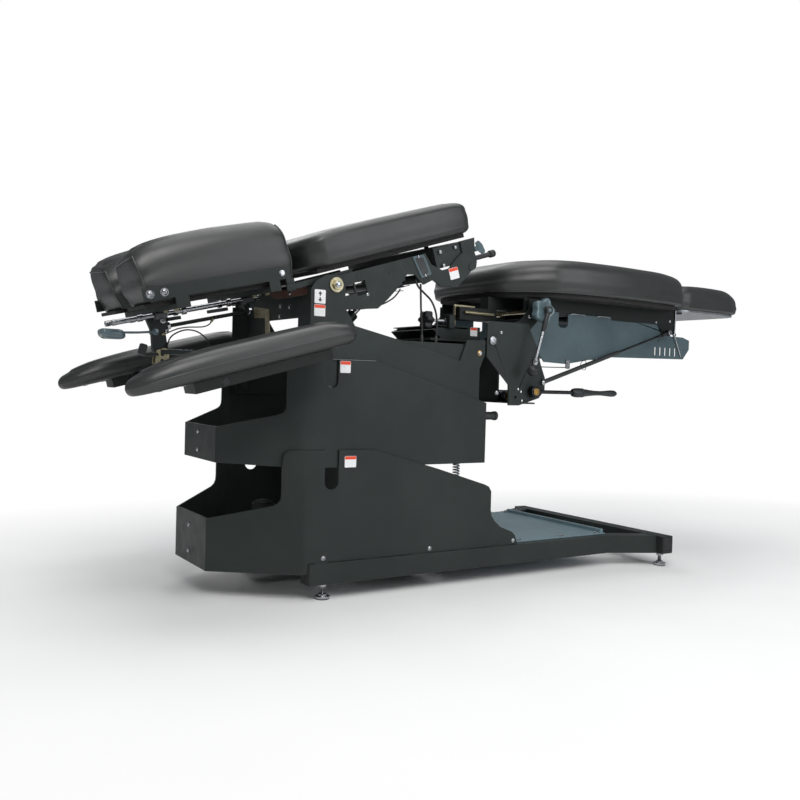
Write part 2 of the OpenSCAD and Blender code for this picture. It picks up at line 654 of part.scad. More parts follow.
knob_y = -203;
chest_foot_u = chest_plate_off[0] + chest_plate_l;
guide_l = 30;
guide_in = 4;
guide_u = [chest_foot_u - guide_in - guide_l, chest_foot_u - guide_in];
guide_v = [-36, -12];
plunger_y = -202;
plunger_v = -24;
plunger_d = 13;
strut_head = [250, -38];
upper_bar_d = 22;
module chest_frame() color(steel) placed() tilted(chest_tilt) {
  both_sides() {
    difference() {
      translate([chest_plate_off[0], 0, chest_plate_off[1]]) plate_xz(chest_plate_half - plate_t, plate_t)
        polygon(scaled(chest_plate_shares, chest_plate_l, chest_plate_h));
      bar_y(0, [chest_plate_half - plate_t - over, chest_plate_half + over], 0, pivot_d + 2 * fit);
      for (s = window_shares) translate([chest_plate_off[0], 0, chest_plate_off[1]])
        block([s[0], s[1]] * chest_plate_l, [chest_plate_half - plate_t - over, chest_plate_half + over],
          [s[2], s[3]] * chest_plate_h);
    }
    block(neck_u, [neck_half - neck_t, neck_half], neck_v);
    block([neck_u[1] - neck_t, neck_u[1]], [neck_half, chest_plate_half - plate_t],
      [neck_v[0], neck_v[0] + neck_t]);
    bar_y(head_hinge[0], [bar_half - 3 * bar_t / 2, neck_half - neck_t / 2], head_hinge[1], head_hinge_d);
  }
  block(knob_lug_u, [-chest_plate_half + plate_t, knob_y + washer_d / 4], knob_lug_v);
  difference() {
    block(guide_u, [-chest_plate_half + plate_t, plunger_y + plunger_d], guide_v);
    bar_x(guide_u + [-over, over], plunger_y, plunger_v, plunger_d + 2 * fit);
  }
}

// Chest ties: cross tubes between the chest plates
rear_tie_in = 179;
chest_tie_u = [70, guide_u[0] - rear_tie_in];
chest_tie_v = 4;
module chest_ties() color(steel) placed() tilted(chest_tilt) {
  for (u = chest_tie_u)
    bar_y(u, [-chest_plate_half + plate_t, chest_plate_half - plate_t], chest_tie_v, upper_bar_d);
  difference() {
    bar_y(strut_head[0], [-chest_plate_half + plate_t, chest_plate_half - plate_t], strut_head[1],
      upper_bar_d);
    block([strut_head[0] - upper_bar_d, strut_head[0] + upper_bar_d], [-strut_d, strut_d],
      [strut_head[1] - upper_bar_d, strut_head[1] + upper_bar_d]);
  }
  bar_y(strut_head[0], [-strut_d - over, strut_d + over], strut_head[1], strut_pin_d);
}

// Drop box: housing of the chest drop, with guide bores
drop_l = 94;
drop_u = [guide_u[0] - drop_l, guide_u[0]];
drop_v = [-26, 26];
drop_pin_d = 12;
drop_pin_y = 120;
drop_pin_l = 40;
module drop_box() color(black) placed() tilted(chest_tilt) difference() {
  block(drop_u, [-chest_plate_half + plate_t, chest_plate_half - plate_t], drop_v);
  for (s = [-1, 1]) bar_z((drop_u[0] + drop_u[1]) / 2, s * drop_pin_y,
    [drop_v[1] - drop_pin_l - over, drop_v[1] + over], drop_pin_d + 2 * fit);
}

// Chest board: plywood under the chest cushion, with the two guide pins of the drop
chest_u = chest_foot_u - chest_l;
board_t = 10;
chest_v = 33.5;
board_inset = 26;
drop_travel = 6;
module chest_board() color([0.12, 0.11, 0.10]) placed() tilted(chest_tilt) {
  block([chest_u + board_inset, chest_u + chest_l - board_inset],
    [-chest_half + board_inset, chest_half - board_inset], [chest_v, chest_v + board_t]);
  for (s = [-1, 1]) bar_z((drop_u[0] + drop_u[1]) / 2, s * drop_pin_y,
    [drop_v[1] - drop_pin_l + drop_travel + over, chest_v], drop_pin_d);
}

// Chest cushion
chest_width_shares = [[0, 0], [0.004, 0.66], [0.02, 0.83], [0.05, 0.93], [0.1, 0.985], [0.3, 1], [0.8, 1],
  [0.93, 0.985], [0.975, 0.93], [0.993, 0.84], [0.998, 0.68], [1, 0]];
chest_crown_shares = [[0, 0.9], [0.2, 0.985], [0.5, 1], [0.85, 0.995], [1, 0.93]];
module chest_cushion() color(vinyl) placed() tilted(chest_tilt) translate([chest_u, 0, chest_v + board_t])
  pad(chest_l, 2 * chest_half, chest_t, chest_width_shares, chest_crown_shares);

// Release plunger: sprung push rod of the chest drop
plunger_l = 99;
button_d = 19;
button_t = 10;
plunger_in = 12;
module release_plunger() color(black) placed() tilted(chest_tilt) {
  bar_x([guide_u[0] + plunger_in, guide_u[0] + plunger_l], plunger_y, plunger_v, plunger_d);
  bar_x([guide_u[0] + plunger_l - button_t, guide_u[0] + plunger_l], plunger_y, plunger_v, button_d);
}

// Tilt strut: actuator tube on the top housing and its rod on the chest section
strut_d = 12;
tilt_tube_d = 30;
tilt_tube_l = 165;
tilt_eye_d = 28;
tilt_rod_d = 14;
strut_head_at = tilted_at(chest_tilt, strut_head);
strut_vec = strut_head_at - strut_foot;
strut_len = norm(strut_vec);
strut_angle = atan2(strut_vec[1], strut_vec[0]);
module on_strut() translate([strut_foot[0], 0, strut_foot[1]]) rotate([0, -strut_angle, 0]) children();
module tilt_strut() color(steel) placed() on_strut() difference() {
  union() {
    bar_y(0, [-strut_d, strut_d], 0, tilt_eye_d);
    bar_x([tilt_eye_d / 4, tilt_tube_l], 0, 0, tilt_tube_d);
  }
  bar_y(0, [-2 * strut_d, 2 * strut_d], 0, strut_bar_d + 2 * fit);
  bar_x([tilt_eye_d, tilt_tube_l + over], 0, 0, tilt_rod_d + 2 * fit);
}
module tilt_strut_rod() color(silver) placed() on_strut() difference() {
  union() {
    bar_x([strut_len - tilt_tube_l - tilt_eye_d / 4, strut_len], 0, 0, tilt_rod_d);
    bar_y(strut_len, [-strut_d + gap, strut_d - gap], 0, 3 * strut_pin_d);
  }
  bar_y(strut_len, [-strut_d, strut_d], 0, strut_pin_d + 2 * front_open_gap);
}

// Tension knob: fluted knob under the chest plate
tension_d = 18;
tension_l = 20;
tension_stem = 8;
tension_pin = 26;
module tension_knob() color(black) placed() tilted(chest_tilt) {
  translate([(knob_lug_u[0] + knob_lug_u[1]) / 2, knob_y, 0]) {
    for (i = [0:3]) bar_z(0, 0, [knob_lug_v[0] - gap - tension_l + i * tension_l / 4,
      knob_lug_v[0] - gap - tension_l + (i + 0.6) * tension_l / 4], tension_d);
    bar_z(0, 0, [knob_lug_v[0] - gap - tension_l, knob_lug_v[0] - gap], tension_d - tension_stem / 2);
    bar_x([0, tension_pin], 0, knob_lug_v[0] - tension_l, tension_stem / 4);
  }
}

// Bracket cables: release cables from the chest bracket down to the top shelf
cable_d = 5;
cable_a = [[972, -211, 738], [973, -211, 720], [974, -211, 700], [975, -211, 680], [977, -211, 660],
  [979, -211, 640], [980, -211, 620], [980, -211, 598.4]];
cable_b = [[958, -210, 746], [966, -210, 731], [985, -210, 716], [1003, -210, 702], [1014, -210, 686],
  [1021, -210, 668], [1024, -210, 648], [1024, -210, 628], [1022, -210, 598.4]];
module bracket_cables() color(black) placed() {
  swept(cable_a, cable_d, 8);
  swept(cable_b, cable_d, 8);
}

// Head bars: side bars, cross bars and hinge tabs of the head frame
bar_half = face_gap / 2 + face_w + 7;
bar_t = 5;
bar_u = [-430, -96];
bar_v = [32, 60];
cross_u = [-365, -335];
rear_cross_u = [-150, -124];
cross_v = [8, 20];
head_hinge_at = tilted_at(chest_tilt, head_hinge);
hinge_in_head = [head_hinge_at[0] - pivot_x, head_hinge_at[1] - pivot_z];
hinge_u = hinge_in_head[0] * cos(head_tilt) + hinge_in_head[1] * sin(head_tilt);
hinge_v = -hinge_in_head[0] * sin(head_tilt) + hinge_in_head[1] * cos(head_tilt);
module head_bars() color(steel) placed() tilted(head_tilt) {
  both_sides() difference() {
    union() {
      block(bar_u, [bar_half - bar_t, bar_half], bar_v);
      for (u = [cross_u, rear_cross_u]) block(u, [bar_half - bar_t, bar_half], [cross_v[0], bar_v[0]]);
      block([hinge_u - head_hinge_d, hinge_u + head_hinge_d], [bar_half - bar_t, bar_half],
        [hinge_v - head_hinge_d, bar_v[0]]);
    }
    bar_y(hinge_u, [bar_half - bar_t - over, bar_half + over], hinge_v, head_hinge_d + 2 * fit);
  }
  for (u = [cross_u, rear_cross_u]) block(u, [-bar_half + bar_t, bar_half - bar_t], cross_v);
}

// Head boards: plywood under each face cushion
face_chest_gap = 16;
head_u = chest_u - face_chest_gap - head_l;
head_v = 28;
head_inset = 14;
module head_board() color([0.12, 0.11, 0.10]) placed() tilted(head_tilt) both_sides()
  block([head_u + head_inset, head_u + head_l - head_inset],
    [face_gap / 2 + head_inset, face_gap / 2 + face_w - head_inset], [cross_v[1], head_v]);

// Face cushions: a mirrored pair whose tops fall toward the gap
face_width_shares = [[0, 0], [0.003, 0.9], [0.02, 0.96], [0.08, 0.99], [0.5, 1], [0.9, 0.98], [0.975, 0.94],
  [0.995, 0.86], [1, 0]];
face_crown_shares = [[0, 0.82], [0.06, 0.88], [0.14, 0.95], [0.3, 1], [0.7, 1], [0.88, 0.96], [1, 0.86]];
face_soft = [0.5, 0.6];
face_lean = 0.14;
module face_cushion(side) placed() tilted(head_tilt)
  translate([head_u, side * (face_gap + face_w) / 2, head_v])
    pad(head_l, face_w, face_t, face_width_shares, face_crown_shares, face_soft, -side * face_lean);
module face_cushion_left() color(vinyl) face_cushion(1);
module face_cushion_right() color(vinyl) face_cushion(-1);

// Head rods: bright guide rods under the head cross bars
head_rod_d = 12;
head_rod_y = 30;
head_rod_u = [-456, -110];
module head_rods() color(silver) placed() tilted(head_tilt) both_sides()
  bar_x(head_rod_u, head_rod_y, cross_v[0] - head_rod_d / 2, head_rod_d);

// Head bracket: hanging plate with its adjusting rod
bracket_t = 16;
bracket_shares = [[0, 0], [0.12, 0.5], [0, 0.85], [0.05, 1], [0.9, 1], [1, 0.8], [0.92, 0.55], [0.75, 0.4],
  [0.7, 0]];
bracket_at = [-376, -72];
bracket_l = 48;
bracket_h = 80;
bracket_hole_d = 9;
bracket_hole = [-340, -12];
adjust_d = 9;
adjust_u = [-340, -122];
adjust_v = -27;
lever_hinge = [-364, -34];
module head_bracket() color(steel) placed() tilted(head_tilt) {
  difference() {
    translate([bracket_at[0], 0, bracket_at[1]]) plate_xz(-bracket_t / 2, bracket_t)
      polygon(scaled(bracket_shares, bracket_l, bracket_h));
    bar_y(bracket_hole[0], [-bracket_t, bracket_t], bracket_hole[1], bracket_hole_d);
    bar_y(lever_hinge[0], [-bracket_t, bracket_t], lever_hinge[1], lever_pin_d);
  }
  bar_x(adjust_u, 0, adjust_v, adjust_d);
  block([adjust_u[1] - bracket_t, adjust_u[1]], [-adjust_d / 2, adjust_d / 2], [adjust_v, cross_v[0]]);
}

// Head cable: thin release cable looped from the bracket back to the adjusting rod
head_cable_d = 3;
head_cable_path = [[404, -9.5, 592], [412, -12, 594], [424, -14, 600], [438, -14, 606], [454, -13, 610],
  [470, -12, 612], [486, -10, 613], [502, -8, 615], [516, -6, 621], [526, -5.3, 634.5]];
module head_cable() color(black) placed() swept(head_cable_path, head_cable_d, 8);

// Head lever: paddle that releases the head tilt
lever_pin_d = 8;
lever_arm_t = 5;
paddle_l = 58;
paddle_w = 44;
paddle_t = 10;
paddle_u = -488;
lever_drop = 14;
module head_lever() color(black) placed() tilted(head_tilt) {
  both_sides() rod_to([lever_hinge[0], bracket_t / 2 + gap + lever_arm_t / 2, lever_hinge[1]],
    [paddle_u + paddle_l, bracket_t / 2 + gap + lever_arm_t / 2, lever_hinge[1] + lever_drop], lever_arm_t);
  both_sides() bar_y(lever_hinge[0], [bracket_t / 2 + gap, bracket_t / 2 + gap + lever_arm_t],
    lever_hinge[1], 2 * lever_pin_d);
  bar_y(lever_hinge[0], [-bracket_t / 2 - gap - over, bracket_t / 2 + gap + over], lever_hinge[1],
    lever_pin_d - 2 * fit);
  translate([paddle_u + paddle_l / 2, 0, lever_hinge[1] + lever_drop]) rotate([0, head_tilt, 0])
    cube([paddle_l, paddle_w, paddle_t], center = true);
}

// Arm carrier: cross tube that both armrests hinge on, hung from the head bracket
arm_axis = [-350, -139];
arm_axis_at = tilted_at(arm_tilt, arm_axis);
carrier_d = 16;
tray_half = 34;
carrier_half = arm_half + tray_half;
post_half = 20;
post_foot_d = 26;
bracket_foot_share = 0.7;
post_top = [tilted_at(head_tilt, bracket_at),
  tilted_at(head_tilt, bracket_at + [bracket_l * bracket_foot_share, 0])];
slot_bar = [76, 30, 10];
module arm_carrier() color(steel) placed() {
  bar_y(arm_axis_at[0], [-carrier_half, carrier_half], arm_axis_at[1], carrier_d);
  plate_xz(-post_half / 2, post_half) polygon([[arm_axis_at[0] - post_foot_d / 2, arm_axis_at[1]],
    post_top[0], post_top[1], [arm_axis_at[0] + post_foot_d / 2, arm_axis_at[1]]]);
  bar_y(arm_axis_at[0], [-post_half, post_half], arm_axis_at[1], post_foot_d);
  translate([(post_top[0][0] + post_top[1][0]) / 2, -slot_bar.y / 2, post_top[0][1] - slot_bar.z])
    cube(slot_bar);
}

// Armrests: tapered pads on steel trays that hinge on the carrier
arm_u = -537;
arm_v = -127;
arm_width_shares = [[0, 0], [0.01, 0.3], [0.04, 0.58], [0.1, 0.82], [0.2, 0.96], [0.35, 1], [0.88, 1],
  [0.95, 0.9], [0.985, 0.68], [0.997, 0.4], [1, 0]];
arm_crown_shares = [[0, 0.62], [0.08, 0.78], [0.2, 0.94], [0.4, 1], [0.85, 1], [1, 0.8]];
tray_u = [-415, -105];
tray_h = 22;
tray_wall = 3;
module armrest(side) placed() tilted(arm_tilt)
  translate([arm_u, side * arm_half, arm_v]) pad(arm_l, arm_w, arm_t, arm_width_shares, arm_crown_shares);
module arm_tray(side) placed() tilted(arm_tilt) translate([0, side * arm_half, 0]) difference() {
  block(tray_u, [-tray_half, tray_half], [arm_v - tray_h, arm_v]);
  block(tray_u + [tray_wall, -tray_wall], [-tray_half + tray_wall, tray_half - tray_wall],
    [arm_v - tray_h - over, arm_v - tray_wall]);
  bar_y(arm_axis[0], [-tray_half - over, tray_half + over], arm_axis[1], carrier_d + 2 * fit);
}
module armrest_left() color(vinyl) armrest(1);
module armrest_right() color(vinyl) armrest(-1);
module arm_tray_left() color(steel) arm_tray(1);
module arm_tray_right() color(steel) arm_tray(-1);

// Leg frame: side channels, hinge ears, cross members and guides of the leg section
channel_half = 190;
channel_wall = 4;
channel_x0 = 1318;
leg_end_x = 1911;
channel_h = 41;
tail_h = 71;
tail_shares = [[0, 0.4], [0, 1], [1, 1], [1, 0], [0.912, 0], [0.88, 0.4], [0.54, 0.4], [0.53, 0.22],
  [0.51, 0.22], [0.5, 0.4]];
ear_l = 210;
ear_off = [-13, -14];
ear_top_drop = 6;
ear_h = leg_z - ear_top_drop - flex_z - ear_off[1];
ear_shares = [[0, 0.07], [0, 0.17], [0.07, 0.25], [0.55, 0.55], [0.68, 0.78], [0.68, 1], [0.93, 1],
  [0.93, 0.72], [0.67, 0.32], [0.1, 0.02], [0.04, 0.01]];
spacer_x = [1330, 1378];
front_cross_x = [1362, 1380];
mid_cross_x = [1560, 1580];
guide_x = [1846, 1852];
end_plate_t = 6;
rail_d = 20;
rail_y = 100;
rail_drop = 28;
front_block_x = [1160, 1284];
front_block_y = [-118, -82];
front_block_drop = 34;
front_block_h = 33;
front_block_z = [leg_z - front_block_drop - front_block_h, leg_z - front_block_drop];
front_arm_w = 30;
knob_drop = 38;
knob_at = [1345, leg_z - knob_drop];
knob_stem_d = 10;
channel_inner = channel_half - channel_wall;
channel_z = leg_z - channel_h;
cross_rod_off = 8;
cross_rod_x = knob_at[0] - cross_rod_off;
module leg_side() {
  difference() {
    translate([channel_x0, 0, leg_z - tail_h]) plate_xz(channel_inner, channel_wall)
      polygon(scaled(tail_shares, leg_end_x - channel_x0, tail_h));
    bar_y(knob_at[0], [channel_inner - over, channel_half + over], knob_at[1], knob_stem_d + 2 * fit);
    bar_y(upper_strut[0], [channel_inner - over, channel_half + over], upper_strut[1], upper_pin_d);
  }
  difference() {
    translate([flex_x + ear_off[0], 0, flex_z + ear_off[1]]) plate_xz(ear_half - ear_t, ear_t)
      polygon(scaled(ear_shares, ear_l, ear_h));
    bar_y(flex_x, [ear_half - ear_t - over, ear_half + over], flex_z, flex_pin_d + 2 * fit);
    bar_y(knob_at[0], [ear_half - ear_t - over, ear_half + over], knob_at[1], knob_stem_d + 2 * fit);
  }
  block(spacer_x, [channel_half, ear_half - ear_t], [leg_z - 2 * front_arm_w / 3, leg_z - front_arm_w / 3]);
}
module leg_frame() color(steel) placed() {
  both_sides() leg_side();
  for (x = [front_cross_x, mid_cross_x])
    block(x, [-channel_inner, channel_inner], [leg_z - front_arm_w, leg_z]);
  difference() {
    block([front_block_x[1] - front_arm_w, front_cross_x[0]], front_block_y, [front_block_z[1], leg_z]);
    bar_y(cross_rod_x, front_block_y + [-over, over], knob_at[1], cross_rod_d);
  }
  block(front_block_x, front_block_y, front_block_z);
  difference() {
    union() {
      block(guide_x, [-channel_inner + guard_t, channel_inner - guard_t], [channel_z, leg_z]);
      block([leg_end_x - end_plate_t, leg_end_x], [-channel_inner, channel_inner], [channel_z, leg_z]);
    }
    for (s = [-1, 1])
      bar_x([guide_x[0] - over, leg_end_x + over], s * rail_y, leg_z - rail_drop, rail_d + 2 * fit);
  }
}

// Leg board: plywood under the leg cushion
leg_u = 1246;
leg_board_t = 12;
leg_width_shares = [[0, 0], [0.001, 0.2], [0.012, 0.42], [0.03, 0.56], [0.082, 0.71], [0.14, 0.83],
  [0.211, 0.93], [0.35, 0.985], [0.512, 1], [0.75, 0.965], [0.93, 0.905], [0.97, 0.84], [0.99, 0.7], [1, 0]];
leg_crown_shares = [[0, 0.72], [0.06, 0.86], [0.16, 0.96], [0.35, 1], [0.8, 1], [0.93, 0.95], [1, 0.82]];
leg_board_share = 0.955;
board_n = 48;
module board(l, half, t, share, width_table) translate([l * (1 - share) / 2, 0, 0]) linear_extrude(t)
  polygon([for (k = [0:board_n - 1]) let (p = pad_plan(k * 360 / board_n, width_table))
    [p[0] * l, p[1] * half] * share]);
module leg_board() color([0.45, 0.40, 0.33]) placed() translate([leg_u, 0, leg_z])
  board(leg_l, leg_half, leg_board_t, leg_board_share, leg_width_shares);
module leg_cushion() color(vinyl) placed() translate([leg_u, 0, leg_z + leg_board_t])
  pad(leg_l, 2 * leg_half, leg_t, leg_width_shares, leg_crown_shares);

// Guard panels: sheet guards on both sides below the leg frame
guard_t = 3;
main_guard_drop = 174;
main_guard_at = [1331, leg_z - main_guard_drop];
main_guard_l = 309;
main_guard_h = 140;
main_guard_shares = [[0.085, 1], [0, 0.579], [0.084, 0.314], [0.194, 0.021], [0.453, 0], [0.6, 0.05],
  [0.935, 0.18], [1, 0.3], [1, 1], [0.466, 0.98], [0.466, 0.75], [0.43, 0.707], [0.38, 0.707],
  [0.353, 0.75], [0.353, 1]];
rear_guard_drop = 149;
rear_guard_at = [1622, leg_z - rear_guard_drop];
rear_guard_l = 363;
rear_guard_h = 129;
rear_guard_shares = [[0, 0], [0, 0.8], [0.05, 1], [0.765, 1], [0.765, 0.57], [0.92, 0.565], [1, 0.5],
  [1, 0.28], [0.93, 0.047]];
vent_shares = [0.58, 0.64, 0.7, 0.76, 0.82];
vent_w = 6;
vent_h = 24;
vent_rise = 14;
upper_off = [675, 57];
upper_strut = [flex_x + upper_off[0], flex_z + upper_off[1]];
guard_cut_y = [channel_inner - guard_t - over, channel_inner + over];
module guard_panels() color(guard_blue) placed() both_sides() {
  translate([main_guard_at[0], 0, main_guard_at[1]]) plate_xz(channel_half, guard_t)
    polygon(scaled(main_guard_shares, main_guard_l, main_guard_h));
  difference() {
    translate([rear_guard_at[0], 0, rear_guard_at[1]]) plate_xz(channel_inner - guard_t, guard_t)
      polygon(scaled(rear_guard_shares, rear_guard_l, rear_guard_h));
    bar_y(upper_strut[0], guard_cut_y, upper_strut[1], upper_pin_d);
    for (s = vent_shares) translate([rear_guard_at[0] + s * rear_guard_l, 0, rear_guard_at[1]])
      block([0, vent_w], guard_cut_y, [vent_rise, vent_rise + vent_h]);
  }
}

// Leg rods: bright cross shaft, bent rod and side rod of the leg mechanism, and the upper strut pin
cross_rod_d = 12;
cross_rod_y = [-186, 92];
collar_d = 20;
collar_w = 26;
collar_y = -46;
bent_rod_d = 7;
bent_rod_rise = 8;
bent_rod_low = saddle_z + box_h + bent_rod_rise;
bent_rod_l = 128;
side_rod_d = 8;
side_rod_drop = 14;
bent_rod_x = front_block_x[0] - bent_rod_d / 2;
bent_rod_y = (front_block_y[0] + front_block_y[1]) / 2;
bent_rod_z = front_block_z[1] + bent_rod_d / 2;
module leg_rods() color(zinc) placed() {
  bar_y(cross_rod_x, cross_rod_y, knob_at[1], cross_rod_d);
  bar_y(cross_rod_x, [collar_y - collar_w, collar_y], knob_at[1], collar_d);
  bar_z(bent_rod_x, bent_rod_y, [bent_rod_low, bent_rod_z], bent_rod_d);
  translate([bent_rod_x, bent_rod_y, bent_rod_z]) sphere(d = bent_rod_d);
  bar_x([bent_rod_x, bent_rod_x + bent_rod_l / 2], bent_rod_y, bent_rod_z, bent_rod_d);
  bar_x(front_block_x + [side_rod_drop, -side_rod_drop], front_block_y[0] - side_rod_d / 2,
    front_block_z[1] - side_rod_drop, side_rod_d);
  bar_y(upper_strut[0], [strut_y - strut_d / 2 - over, -channel_inner + guard_t], upper_strut[1],
    upper_pin_d);
}

// Lobed knob: five-lobed clamp knob on its stem through the near side channel
lobed_d = 70;
lobe_depth = 8;
lobed_y = -222;
lobed_w = 24;
lobed_hub_d = 26;
lobe_steps = 60;
module lobed_outline(d, depth, lobes) polygon([for (i = [0:lobe_steps - 1])
  let (a = i * 360 / lobe_steps, r = d / 2 - depth / 2 + depth / 2 * cos(lobes * a))
  [r * cos(a), r * sin(a)]]);
module lobed_knob() color(black) placed() translate([knob_at[0], 0, knob_at[1]]) {
  bar_y(0, [lock_y - lock_hub_w, -channel_half + channel_wall / 2], 0, knob_stem_d);
  bar_y(0, [lobed_y, -ear_half - gap], 0, lobed_hub_d);
  translate([0, lobed_y, 0]) rotate([90, 0, 0]) linear_extrude(lobed_w)
    lobed_outline(lobed_d, lobe_depth, 5);
}

// Lock lever: ball-ended lever that swings on the lobed knob's stem
lock_y = -250;
lock_hub_w = 13;
lock_hub_d = 22;
lock_rod_d = 9;
lock_ball_d = 28;
lock_end_off = [-48, -160];
sleeve_share = 0.35;
module lock_arm() {
  bar_y(0, [-lock_hub_w / 2 + gap, lock_hub_w / 2 - gap], 0, lock_hub_d);
  rod_to([0, 0, 0], [lock_end_off[0], 0, lock_end_off[1]], lock_rod_d);
  rod_to([0, 0, 0], sleeve_share * [lock_end_off[0], 0, lock_end_off[1]], lock_hub_w - 2 * gap);
  translate([lock_end_off[0], 0, lock_end_off[1]]) sphere(d = lock_ball_d);
}
module lock_lever() color(silver) placed()
  translate([knob_at[0], lock_y - lock_hub_w / 2, knob_at[1]]) difference() {
    lock_arm();
    bar_y(0, [-lock_hub_w, lock_hub_w], 0, knob_stem_d + 2 * fit);
  }

// Star knob: lock knob of the swivel, on a stud in the saddle's bracket
star_d = 50;
star_y = -100;
star_rise = 18;
star_z = saddle_z + box_h + star_rise;
star_x = [1054, 1078];
star_boss_d = 24;
star_boss_t = 6;
star_stud_d = 8;
star_bracket_in = 44;
star_bracket_t = 18;
star_bracket_x = [box_x[0] + star_bracket_in, box_x[0] + star_bracket_in + star_bracket_t];
star_bracket_w = 30;
star_cap = 17;
star_bracket_top = star_z + star_cap;
module star_knob() color(black) placed() translate([0, star_y, star_z]) {
  translate([star_x[0], 0, 0]) rotate([90, 0, 90]) linear_extrude(star_x[1] - star_x[0])
    lobed_outline(star_d, lobe_depth, 6);
  bar_x([star_x[1], star_x[1] + star_boss_t], 0, 0, star_boss_d);
  bar_x([star_x[1], star_bracket_x[1] - over], 0, 0, star_stud_d);
}

// Gas strut: tube on the tower and piston rod on the leg frame
gas = upper_strut - low_strut;
gas_len = norm(gas);
gas_angle = atan2(gas[1], gas[0]);
gas_tube_l = 310;
gas_eye_d = 16;
gas_eye_w = 9;
gas_rod_d = 7;
gas_nut_d = 11;
gas_nut_l = 24;
// Clearance around the two pins at which the linkages stay open, and the upper eye it needs
leg_open_gap = 3.3;
front_open_gap = 1;
upper_eye_d = 18;
module on_gas() translate([low_strut[0], strut_y, low_strut[1]]) rotate([0, -gas_angle, 0]) children();
module strut_tube() color(black) placed() on_gas() difference() {
  union() {
    bar_y(0, [-gas_eye_w / 2, gas_eye_w / 2], 0, gas_eye_d);
    bar_x([gas_eye_d / 4, gas_tube_l], 0, 0, strut_d);
  }
  bar_y(0, [-gas_eye_w, gas_eye_w], 0, strut_pin_d + 2 * fit);
  bar_x([gas_eye_d, gas_tube_l + over], 0, 0, gas_rod_d + 2 * fit);
}
module strut_rod() color(silver) placed() on_gas() difference() {
  union() {
    bar_x([gas_len - gas_tube_l, gas_len], 0, 0, gas_rod_d);
    bar_x([gas_len - upper_eye_d / 4 - gas_nut_l, gas_len - upper_eye_d / 4], 0, 0, gas_nut_d);
    bar_y(gas_len, [-gas_eye_w / 2, gas_eye_w / 2], 0, upper_eye_d);
  }
  bar_y(gas_len, [-gas_eye_w, gas_eye_w], 0, upper_pin_d + 2 * leg_open_gap);
}

// Ankle slide: rails, bracket and tray of the sliding ankle section
ankle_u = 1925;
slide_bracket_l = 48;
slide_off = 10;
slide_bracket_x = [leg_end_x + slide_off, leg_end_x + slide_off + slide_bracket_l];
ankle_rail_l = 329;
ankle_rail_x = [slide_bracket_x[1] - ankle_rail_l, slide_bracket_x[1]];
slide_bracket_half = 168;
tray_t = 7;
ankle_z = leg_z + 3;
ankle_tray_share = 0.93;
ankle_width_shares = [[0, 0], [0.003, 0.75], [0.02, 0.88], [0.06, 0.96], [0.15, 1], [0.7, 0.99],
  [0.88, 0.93], [0.95, 0.85], [0.985, 0.7], [0.997, 0.5], [1, 0]];
module ankle_slide() color(steel) placed() {
  for (s = [-1, 1]) {
    bar_x(ankle_rail_x, s * rail_y, leg_z - rail_drop, rail_d);
    block(slide_bracket_x, [s * rail_y - rail_d, s * rail_y + rail_d],
      [leg_z - rail_drop - rail_d, ankle_z]);
  }
  block(slide_bracket_x, [-slide_bracket_half, slide_bracket_half], [ankle_z - tray_t, ankle_z]);
  translate([ankle_u, 0, ankle_z])
    board(ankle_l, ankle_half, tray_t, ankle_tray_share, ankle_width_shares);
}

// Ankle cushion
ankle_crown_shares = [[0, 0.9], [0.15, 0.98], [0.4, 1], [0.75, 0.98], [0.9, 0.86], [1, 0.6]];
module ankle_cushion() color(vinyl) placed() translate([ankle_u, 0, ankle_z + tray_t])
  pad(ankle_l, 2 * ankle_half, ankle_t, ankle_width_shares, ankle_crown_shares);

base_rails();
foot_crossbar();
floor_plate();
levelling_feet();
base_bolts();
lower_housing();
lower_ties();
lift_motor();
lift_tube();
middle_housing();
middle_ties();
middle_tube();
cord_socket();
stage_spring();
top_housing();
front_panel();
top_shelf();
lift_rod();
pivot_pins();
swivel_base();
swivel_saddle();
tower_plates();
tower_shelf();
flexion_pins();
chest_frame();
drop_box();
chest_ties();
chest_board();
chest_cushion();
release_plunger();
tilt_strut();
tilt_strut_rod();
tension_knob();
bracket_cables();
head_bars();
head_board();
head_rods();
head_bracket();
head_cable();
face_cushion_left();
face_cushion_right();
head_lever();
arm_carrier();
armrest_left();
armrest_right();
arm_tray_left();
arm_tray_right();
leg_frame();
leg_board();
leg_cushion();
guard_panels();
leg_rods();
lobed_knob();
star_knob();
strut_tube();
strut_rod();
lock_lever();
hand_lever();
ankle_slide();
ankle_cushion();
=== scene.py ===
"""Looks of an elevating treatment table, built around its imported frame."""

import math

import bmesh
import bpy
from bpy.props import FloatProperty, FloatVectorProperty, IntProperty, PointerProperty
from mathutils import Matrix, Vector


